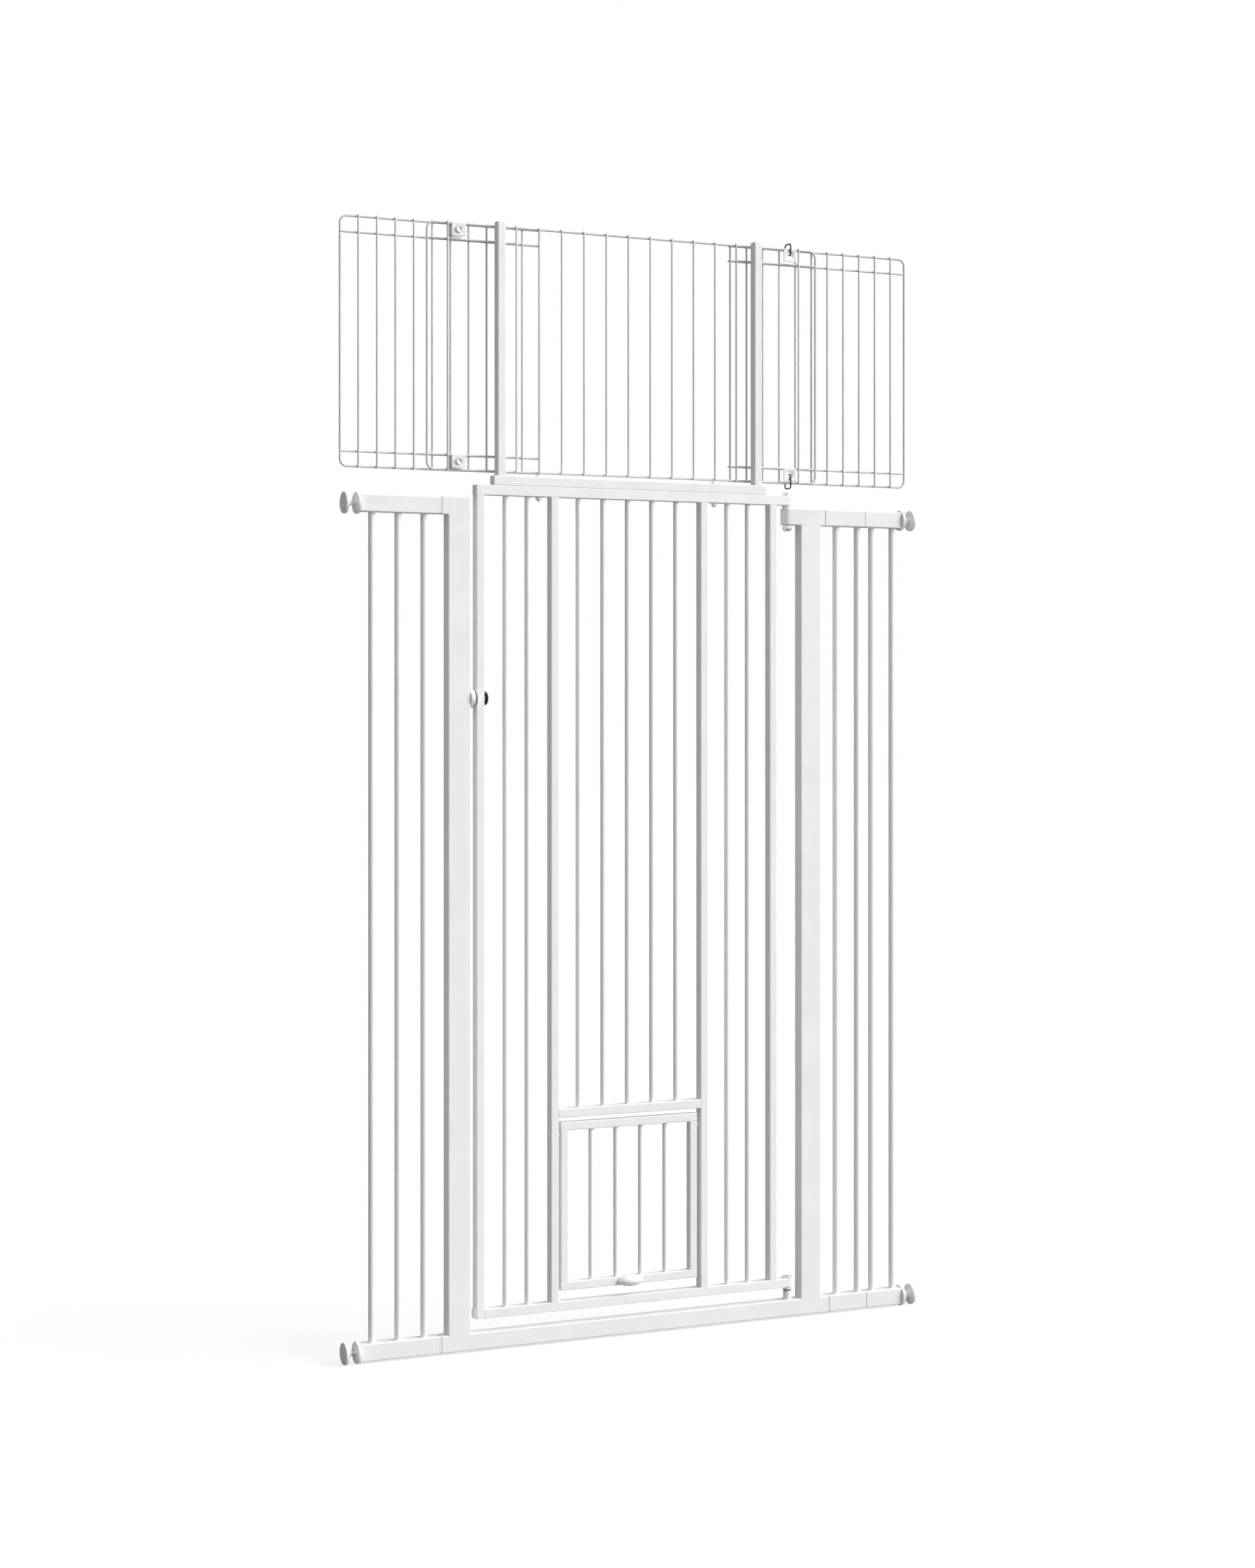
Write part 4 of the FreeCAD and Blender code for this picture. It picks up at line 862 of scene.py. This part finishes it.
def washer(name, low_z, tall, radius, material, slot, edge, *nodes):
    """A turned ring about the hinge line, in millimetres above its low face, with soft edges."""
    profile = [(0, WASHER_BORE), (0, radius - edge), (0.3 * edge, radius - 0.3 * edge), (edge, radius),
               (tall - edge, radius), (tall - 0.3 * edge, radius - 0.3 * edge), (tall, radius - edge),
               (tall, WASHER_BORE)]
    fit(turned(name, profile, (HINGE_X, 0, low_z), (0, 0, 1), material), "door", slot, *nodes)


washer("hinge_spacer", arm_high.z + 0.4 * MM, 5.6, 9, PLASTIC, "white_plastic", 0.6, "hinge_washers")
washer("hinge_seal", SLEEVE_FOOT_Z + 16.4 * MM, 1.4, 8, BLACK, "black_plastic", 0.4)
washer("hinge_ring", SLEEVE_FOOT_Z + 17.8 * MM, 5.2, 7.7, PLASTIC, "white_plastic", 0.5)


# ======================================================================= latch
# A steel pin slides in a white moulded housing whose flange faces the keeper. A black half-round knob
# on the inner side of the stile pulls it back.

KNOB_RISE = 5.2
KNOB_RADIUS = 12.4
KNOB_POINT = 0.05


def latch_part(name, profile, node, body, material, slot, sides=96):
    """A turned part of the latch, which starts at its node's left face."""
    part = turned(name, profile, (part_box(node)[0].x, 0, LATCH_Z), (1, 0, 0), material, sides)
    fit(part, body, slot, node)


housing = [(0, 4.3), (0, 5.6), (0.25, 6.2), (0.25, 14.6), (0, 15.2), (0, 16.6), (0.25, 17.2), (0.7, 17.5),
           (1.6, 17.5), (1.6, 6.1), (2, 6), (16.4, 6), (16.6, 5.8), (16.6, 4.3)]
latch_part("latch_flange", housing, "latch_housing", "door", PLASTIC, "white_plastic")
bolt = [(0, 1), *soft_edge(0, 4, 1.5, -1, steps=5), (24, 4), (24.2, 3.8)]
latch_part("latch_pin", bolt, "latch_bolt", "latch", ZINC, "zinc_steel", 64)
dome = [(0, 11.7), (0.25, 12.3), (0.6, 12.45), (0.9, 12.3), (1.2, 12.1)]
for k in range(12):
    angle = math.radians(16 + 74 * k / 12)
    dome.append((KNOB_RISE * math.sin(angle), KNOB_RADIUS * math.cos(angle) + KNOB_POINT))
dome.append((KNOB_RISE, KNOB_POINT))
latch_part("latch_knob_dome", dome, "latch_knob", "latch", BLACK, "black_plastic")


# ======================================================================= cat door
# A small leaf of the same rolled tube, 14 by 16 mm, with four 9 mm bars. It hangs between the
# mullions and swings freely both ways.

CAT_BAR = 9 * MM
CAT_BARS = even_places("cat_door_bars", 4, CAT_BAR)

door_tubes("cat_door", "flap", "cat_door", "cat_door_left_stile", "cat_door_right_stile", "cat_door_top_rail",
           "cat_door_bottom_rail")
upright_bars("flap_bars", "cat_door", "cat_door_bars", CAT_BARS, CAT_BAR, 36)
weld("cat_weld_rings", "cat_door", weld_rings("cat_door_bars", CAT_BARS, CAT_BAR), 19.0, closed=True)
low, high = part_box("cat_door_bars")
inner_sides = (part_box("cat_door_left_stile")[1].x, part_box("cat_door_right_stile")[0].x)
runs = [weld_run(x, 6.4 * MM, z) for x in inner_sides for z in (low.z, high.z)]
weld("cat_weld_runs", "cat_door", runs, 20.0)


# ======================================================================= cat door pivots
# Two button-headed M6 bolts, coated white, go through the mullions into nylon bushes in the cat
# door's stiles, with a white spacer in each gap.

PIVOT_HEAD = [(0, 5.2), (0.3, 5.5), (1.2, 5.4), (2.1, 4.8), (2.7, 3.9), (3, 2.8), (3, 2.1), (1.6, 2),
              (1.6, 0.6)]
PIVOT_SPACER = [(0, 3.1), (0, 4.8), (0.3, 5), (3.7, 5), (4, 4.8), (4, 3.1)]
PIVOT_SHANK = [(0, 2.6), (0.2, 2.9), (19.8, 2.9), (20, 2.6)]
PIVOT_BUSH = [(0.05, 3.2), (0.05, 4.3), (0.3, 4.45), (13.7, 4.45), (13.95, 4.3), (13.95, 3.2)]

low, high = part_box("cat_door_bushes")
pivot_z = (low.z + high.z) / 2
pivots, bushes = [], []
for word, side in (("left", -1), ("right", 1)):
    near_side = 0 if side < 0 else 1
    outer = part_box(f"door_{word}_mullion")[near_side].x
    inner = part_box(f"door_{word}_mullion")[1 - near_side].x
    pivots += [(PIVOT_HEAD, outer, side), (PIVOT_SPACER, inner, -side), (PIVOT_SHANK, outer, -side)]
    bushes.append((PIVOT_BUSH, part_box(f"cat_door_{word}_stile")[near_side].x, -side))
for k, (profile, place_x, way) in enumerate(pivots):
    pivot = turned(f"cat_pivot_{k}", profile, (place_x, 0, pivot_z), (way, 0, 0), POWDER_COAT, 48)
    fit(pivot, "door", "white_powder_coat", *(["cat_pivot_bolts"] if k == 0 else []))
for k, (profile, place_x, way) in enumerate(bushes):
    bush = turned(f"cat_bush_{k}", profile, (place_x, 0, pivot_z), (way, 0, 0), PLASTIC, 48)
    fit(bush, "cat_door", "white_plastic", *(["cat_door_bushes"] if k == 0 else []))


# ======================================================================= cat door pull
# A pebble of white plastic pressed on the bottom rail of the cat door, for fingers or a nose. A fine
# parting line runs round it.

PULL_HALF_WIDE = 25 * MM
PULL_HALF_TALL = 10.5 * MM
PULL_DEEP = 14.99 * MM

low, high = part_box("cat_door_pull")
levels = [(0, 0.97), (0.3 * MM, 0.995), (1.4 * MM, 0.993), (1.6 * MM, 0.975), (1.8 * MM, 0.99)]
for k in range(1, 15):
    angle = math.radians(8 + 81 * k / 14)
    levels.append((PULL_DEEP * math.sin(angle), math.cos(angle)))
turns = [2 * math.pi * k / 72 for k in range(72)]
middle = Vector(((low.x + high.x) / 2, high.y, (low.z + high.z) / 2))
rings = [[middle + Vector((share * PULL_HALF_WIDE * math.cos(turn), -distance,
                           share * PULL_HALF_TALL * math.sin(turn))) for turn in turns]
         for distance, share in levels]
pull = loft("flap_pull", [rings], PLASTIC, 40)
fit(pull, "cat_door", "white_plastic", "cat_door_pull")


# ======================================================================= topper frame
# A base tube bolted on the door's top rail, with a post of the same tube welded up from near each end
# of it. It turns with the door, and carries the wire panels.

door_tubes("topper", "crown", "door", "topper_base_rail", "topper_left_post", "topper_right_post")
base_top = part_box("topper_base_rail")[1].z
runs = []
for node in ("topper_left_post", "topper_right_post"):
    low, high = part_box(node)
    runs += [weld_run(x, 7.2 * MM, base_top) for x in (low.x, high.x)]
weld("crown_weld", "door", runs, 27.0)


# ======================================================================= topper bolts
# Two M6 hexagon bolts hold the base tube down, with their nuts under the top rail. The left clamps
# have round-headed bolts with round nuts behind.

M6_FLATS = 10
M6_THREAD = {"Pitch": 1 * MM, "Core Radius": 2.5 * MM, "Ridge": 0.35 * MM, "Finish": ZINC}
M6_PLACES = (-203 * MM, 149 * MM)
M6_NUT_TALL = 5 * MM
M6_BELOW_RAIL = 8 * MM
M6_HEAD = [(0, 4.7), (0.3, 5.2), (0.7, 5.75), (3, 5.75), (3.6, 5.2), (4, 4.4), (4, 1)]
M6_NUT = [(0, 3.1), (0, 4.6), (0.5, 5.3), (0.9, 5.75), (4.3, 5.75), (4.7, 5.2), (5, 4.7), (5, 3.1)]
ROUND_HEAD = [(0, 6), (2.9, 6), (3.35, 5.85), (3.6, 5.5), (3.6, 3.1), (3.4, 2.8), (2.2, 2.7), (2.2, 0.8)]
ROUND_NUT = [(-20.2, 2.8), (-20, 3), (0, 3), (0, 5.2), (0.3, 5.6), (4.5, 5.6), (4.9, 5.2), (5, 4.6),
             (5, 3.2), (5.6, 3), (6, 2.6)]
PLATE_HALF_WIDE = 13.5 * MM
PLATE_HALF_TALL = 12 * MM

stacks = []
for place_x in M6_PLACES:
    stacks += [hexagon_rings(M6_FLATS, M6_HEAD, place_x, base_top),
               hexagon_rings(M6_FLATS, M6_NUT, place_x, rail_low.z - M6_NUT_TALL)]
small_bolts = loft("crown_bolts", stacks, ZINC, 25)
fit(small_bolts, "door", "zinc_steel", "topper_bolts")
starts = [(place_x, 0, rail_low.z - M6_BELOW_RAIL) for place_x in M6_PLACES]
small_threads = grown("crown_bolt_threads", dots(starts), THREAD_TREE, {**M6_THREAD, "Length": 6 * MM})
fit(small_threads, "door", "zinc_steel")

plates_low, plates_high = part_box("clamp_plates")
LEFT_CLAMP_X = plates_low.x + PLATE_HALF_WIDE
RIGHT_CLAMP_X = plates_high.x - PLATE_HALF_WIDE
CLAMP_LEVELS = {"upper": plates_high.z - PLATE_HALF_TALL, "lower": plates_low.z + PLATE_HALF_TALL}
for word, level in CLAMP_LEVELS.items():
    for part, profile, face_y, way in (("head", ROUND_HEAD, plates_low.y, -1),
                                       ("nut", ROUND_NUT, plates_high.y, 1)):
        piece = turned(f"clamp_{part}_{word}", profile, (LEFT_CLAMP_X, face_y, level), (0, way, 0), ZINC)
        fit(piece, "door", "zinc_steel")


# ======================================================================= wire panels
# Bright drawn wire, 4 mm for the loops and 3.5 mm for the rest, resistance-welded where it crosses and
# then coated white. The side panels slide behind the centre one.

# The wire's own coat is white like the frame's. This finish is a darker grey instead: painted shade that
# stands in for the shaded sides of the thin wires.
WIRE_COAT_PAINTED_SHADE = finish("wire_coat_painted_grey_shade", (0.60, 0.60, 0.605), (0.66, 0.66, 0.66), 0.32, 0.44, grain=0.8 * MM,
                   relief=0.008 * MM)
LOOP = 4 * MM
WIRE = 3.5 * MM
LOOP_BEND = 13 * MM
WIRE_TIP = 3.5 * MM
WIRE_FOOT = 2.5 * MM
PANEL_MIDDLE = -20 * MM
CENTRE_HALF = 390 * MM
CENTRE_CROSS_START = 223 * MM
CENTRE_STEP = 44.2 * MM
CENTRE_FAR_WIRES = (257 * MM, 352.4 * MM)
LOOP_JOINT = 0.2 * MM
SIDE_INNER = 190.1 * MM
SIDE_OUTER = 568.5 * MM
SIDE_FIRST = 536.1 * MM
SIDE_STEP = 34.4 * MM
WELD_SPOT = [(-0.75, 0.3), (-0.6, 1), (-0.3, 1.45), (0, 1.6), (0.3, 1.45), (0.6, 1), (0.75, 0.3)]

panel_low, panel_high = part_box("centre_wire_panel")
LOOP_TOP = panel_high.z - WIRE_TIP
LOOP_FOOT = panel_low.z + WIRE_FOOT
CROSS_LEVELS = (LOOP_TOP - 28 * MM, LOOP_FOOT + 26 * MM)


def bent(points, bends):
    """A path along straight runs joined by round bends."""
    path = [points[0]]
    for before, corner, after, bend in zip(points, points[1:], points[2:], bends):
        towards = (corner - before).normalized()
        away = (after - corner).normalized()
        turn = towards.angle(away)
        first = corner - towards * (bend * math.tan(turn / 2))
        centre = corner + (away - towards).normalized() * (bend / math.cos(turn / 2))
        arm = first - centre
        for k in range(17):
            share = turn * k / 16
            path.append(centre + arm * math.cos(share) + towards * (bend * math.sin(share)))
    path.append(points[-1])
    return path


def copies_tree():
    """One shape set at every point of the source."""
    tree, given, result = new_tree(
        "copies", "GeometryNodeTree",
        (("Places", "Geometry"), ("Shape", "Object"), ("Finish", "Material")), (("Geometry", "Geometry"),))
    starts = add_node(tree, "GeometryNodeMeshToPoints", {"Mesh": given["Places"]})
    shape = add_node(tree, "GeometryNodeObjectInfo", {"Object": given["Shape"]})
    copies = add_node(tree, "GeometryNodeInstanceOnPoints",
                      {"Points": starts.outputs[0], "Instance": shape.outputs["Geometry"]})
    return coated_geometry(tree, given, result, copies.outputs[0])


COPIES_TREE = copies_tree()


def copied(name, places, shape, sharp=50):
    """Copies of a shape at a list of places, as one plain mesh."""
    piece = grown(name, dots(places), COPIES_TREE, {"Shape": shape, "Finish": WIRE_COAT_PAINTED_SHADE}, sharp)
    bpy.data.objects.remove(shape)
    return piece


def wire_panel(node, body, outline, spans, places):
    """A wire loop with cross wires over some spans, uprights in front of it, and a spot at each weld."""
    low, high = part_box(node)
    loop_y = high.y - LOOP / 2
    wire_y = low.y + WIRE / 2
    label = node.replace("wire_panel", "grille")
    bend_count = len(outline) - 2
    loop = bent([Vector((x, loop_y, z)) for x, z in outline], [LOOP_BEND] * bend_count)
    frame_wire = grown(f"{label}_loop", paths([loop], closed=bend_count > 2), RUN_TREE,
                       {"Thickness": LOOP, "Sides": 20, "Finish": WIRE_COAT_PAINTED_SHADE})
    fit(frame_wire, body, "white_powder_coat", node)
    crossing = [[Vector((start, loop_y, level)), Vector((end, loop_y, level))]
                for start, end in spans for level in CROSS_LEVELS]
    cross_wires = grown(f"{label}_cross_wires", paths(crossing), RUN_TREE,
                        {"Thickness": WIRE, "Sides": 18, "Finish": WIRE_COAT_PAINTED_SHADE})
    fit(cross_wires, body, "white_powder_coat")
    tall, radius = (high.z - low.z) / MM, WIRE / 2 / MM
    turns = [math.radians(15 * k) for k in range(1, 7)]
    rounding = [(radius * (1 - math.cos(turn)) * 0.7, radius * math.sin(turn)) for turn in turns]
    profile = rounding + [(tall - distance, reach) for distance, reach in reversed(rounding)]
    wire = turned("wire", profile, (0, 0, 0), (0, 0, 1), WIRE_COAT_PAINTED_SHADE, 18)
    uprights = copied(f"{label}_uprights", [(x, wire_y, low.z) for x in places], wire)
    fit(uprights, body, "white_powder_coat")
    touches = [(x, level) for x in places for level in (LOOP_TOP, LOOP_FOOT)]
    for span in spans:
        covered = [x for x in places if min(span) - MM < x < max(span) + MM]
        touches += [(x, level) for x in covered for level in CROSS_LEVELS]
    spot = turned("spot", WELD_SPOT, (0, 0, 0), (0, 1, 0), WIRE_COAT_PAINTED_SHADE, 14, 80)
    spots = copied(f"{label}_weld_spots", [(x, wire_y + WIRE / 2, level) for x, level in touches], spot, 80)
    fit(spots, body, "white_powder_coat")


loop_left, loop_right = PANEL_MIDDLE - CENTRE_HALF, PANEL_MIDDLE + CENTRE_HALF
centre_outline = [(PANEL_MIDDLE, LOOP_TOP), (loop_right, LOOP_TOP), (loop_right, LOOP_FOOT),
                  (loop_left, LOOP_FOOT), (loop_left, LOOP_TOP), (PANEL_MIDDLE - LOOP_JOINT, LOOP_TOP)]
centre_spans = [(PANEL_MIDDLE + side * CENTRE_CROSS_START, PANEL_MIDDLE + side * (CENTRE_HALF - LOOP / 2))
                for side in (-1, 1)]
centre_places = [PANEL_MIDDLE + CENTRE_STEP * k for k in range(-5, 6)]
centre_places += [PANEL_MIDDLE + side * far for far in CENTRE_FAR_WIRES for side in (-1, 1)]
wire_panel("centre_wire_panel", "door", centre_outline, centre_spans, centre_places)
for word, side in (("left", -1), ("right", 1)):
    inner, outer = side * SIDE_INNER, side * SIDE_OUTER
    wire_panel(f"{word}_wire_panel", f"{word}_panel",
               [(inner, LOOP_TOP), (outer, LOOP_TOP), (outer, LOOP_FOOT), (inner, LOOP_FOOT)],
               [(inner, outer - side * LOOP / 2)], [side * (SIDE_FIRST - SIDE_STEP * k) for k in range(11)])


# ======================================================================= clamp plates
# Pressed steel plates, 27 by 24 mm with round corners, coated white. The left pairs are drawn together
# by a bolt; the right ones take a hook.

PLATE_CORNER = 3.5 * MM
PLATE_THICK = 2 * MM
PLATE_EDGE = 0.45 * MM
PLATE_MARGIN = 1.2 * MM
BOLT_HOLE = 6.2 * MM
HOOK_HOLE = 9 * MM


def plate_rings(x, front, z, hole):
    """Rings of a pressed plate: round its rim, then back through its hole."""
    thick, edge = PLATE_THICK, PLATE_EDGE
    rings = []
    for depth, inset in ((0, PLATE_MARGIN), (0, edge), (0.3 * edge, 0.3 * edge), (edge, 0), (thick - edge, 0),
                         (thick - 0.3 * edge, 0.3 * edge), (thick, edge), (thick, PLATE_MARGIN)):
        rings.append([Vector((x + u, front + depth, z + v))
                      for u, v in rounded_outline(PLATE_HALF_WIDE, PLATE_HALF_TALL, PLATE_CORNER, inset)])
    outline = rounded_outline(PLATE_HALF_WIDE, PLATE_HALF_TALL, PLATE_CORNER, 0)
    for depth, grow in ((thick, edge), (thick - edge, 0), (edge, 0), (0, edge)):
        radius = hole / 2 + grow
        rings.append([Vector((x + radius * u / math.hypot(u, v), front + depth,
                              z + radius * v / math.hypot(u, v))) for u, v in outline])
    return rings


plate_places = []
for level in CLAMP_LEVELS.values():
    for front in (plates_low.y, plates_high.y - PLATE_THICK):
        plate_places.append((LEFT_CLAMP_X, front, level, BOLT_HOLE))
for level in CLAMP_LEVELS.values():
    plate_places.append((RIGHT_CLAMP_X, plates_low.y, level, HOOK_HOLE))
for k, place in enumerate(plate_places):
    plate = loft(f"clamp_plate_{k}", [plate_rings(*place)], POWDER_COAT, looped=True)
    fit(plate, "door", "white_powder_coat", *(["clamp_plates"] if k == 0 else []))


# ======================================================================= hooks
# Two hooks of black coated wire. Each starts behind a right plate, comes through its hole, and bends
# over the top wires, or under the bottom ones, of both panels there.

HOOK = 2.6 * MM
HOOK_RISE = 10.49 * MM
HOOK_BENDS = [2.2 * MM, 4.5 * MM, 4.5 * MM]
BLACK_WIRE = finish("black_wire", (0.006, 0.006, 0.007), (0.012, 0.012, 0.013), 0.32, 0.45,
                    grain=0.6 * MM, relief=0.01 * MM, mottle=12 * MM, speck_share=0.02, shine=0.25)

leg_y = plates_low.y - 0.3 * MM - HOOK / 2
rear_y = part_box("clamp_hooks")[1].y - HOOK / 2
lines = []
for level, wire_z, way in ((CLAMP_LEVELS["upper"], LOOP_TOP, 1), (CLAMP_LEVELS["lower"], LOOP_FOOT, -1)):
    crest = wire_z + way * HOOK_RISE
    route = ((leg_y + 7 * MM, level), (leg_y, level), (leg_y, crest), (rear_y, crest),
             (rear_y, wire_z - way * 2 * MM))
    lines.append(bent([Vector((RIGHT_CLAMP_X, y, z)) for y, z in route], HOOK_BENDS))
hooks = grown("panel_hooks", paths(lines), RUN_TREE, {"Thickness": HOOK, "Sides": 16, "Finish": BLACK_WIRE})
fit(hooks, "door", "black_wire", "clamp_hooks")


# ======================================================================= floor
# A plain pale floor a few millimetres under the gate, which hangs clear of it between two walls. It
# glows a little for the camera alone, so that it fades into the white room.

FLOOR_Z = -4 * MM
FLOOR_HALF = 30

floor_mesh = bpy.data.meshes.new("floor")
floor_mesh.from_pydata([(x, y, FLOOR_Z) for x, y in ((-FLOOR_HALF, -FLOOR_HALF), (FLOOR_HALF, -FLOOR_HALF),
                                                     (FLOOR_HALF, FLOOR_HALF), (-FLOOR_HALF, FLOOR_HALF))],
                       [], [(0, 1, 2, 3)])
floor_paint = bpy.data.materials.new("floor")
floor_paint.use_nodes = True
floor_tree = floor_paint.node_tree
floor_rays = add_node(floor_tree, "ShaderNodeLightPath")
glow = reckon(floor_tree, "MULTIPLY", floor_rays.outputs["Is Camera Ray"], 0.73)
set_inputs(floor_tree, floor_tree.nodes["Principled BSDF"],
           {"Base Color": (0.26, 0.26, 0.26, 1), "Roughness": 0.9, "Emission Color": (1, 1, 1, 1),
            "Emission Strength": glow})
floor = new_piece("floor", floor_mesh, floor_paint)


# ======================================================================= light
# A white room that is brighter above and to the right, and one large soft lamp from the right front.
# The room shows plain white to the camera.

ROOM_LEVEL = 0.4
ROOM_SLOPE = (0.31, -0.1, 0.34)
LAMP_WAY = Vector((0.72, -0.48, 0.5))

world = bpy.data.worlds.new("room")
bpy.context.scene.world = world
world.use_nodes = True
room = world.node_tree
heading = add_node(room, "ShaderNodeTexCoord")
slope = add_node(room, "ShaderNodeVectorMath", {0: heading.outputs["Generated"], 1: ROOM_SLOPE},
                 operation="DOT_PRODUCT")
room_rays = add_node(room, "ShaderNodeLightPath")
lit = reckon(room, "ADD", slope.outputs["Value"], ROOM_LEVEL)
shown = add_node(room, "ShaderNodeMix", {"Factor": room_rays.outputs["Is Camera Ray"], "A": lit, "B": 1.0})
set_inputs(room, room.nodes["Background"], {"Strength": shown.outputs["Result"], "Color": (1, 1, 1, 1)})

lamp_data = bpy.data.lights.new("window", "SUN")
lamp_data.energy = 3.15
lamp_data.angle = math.radians(50)
lamp = bpy.data.objects.new("window", lamp_data)
lamp.rotation_euler = LAMP_WAY.to_track_quat("Z", "Y").to_euler()
bpy.context.scene.collection.objects.link(lamp)


# ======================================================================= camera
# The camera stands well to the left of the gate at chest height, level, and is turned 25.5 degrees to
# the right. A small shift centres the gate without tilting its uprights.

camera_data = bpy.data.cameras.new("camera")
camera_data.lens = 63.6
camera_data.sensor_width = 36
camera_data.sensor_fit = "AUTO"
camera_data.shift_y = -0.051
camera = bpy.data.objects.new("camera", camera_data)
camera.location = (-2.1863, -4.527, 1.1369)
camera.rotation_euler = (math.radians(90), 0, math.radians(-25.5))
bpy.context.scene.collection.objects.link(camera)
bpy.context.scene.camera = camera
bpy.context.scene.view_settings.view_transform = "Standard"
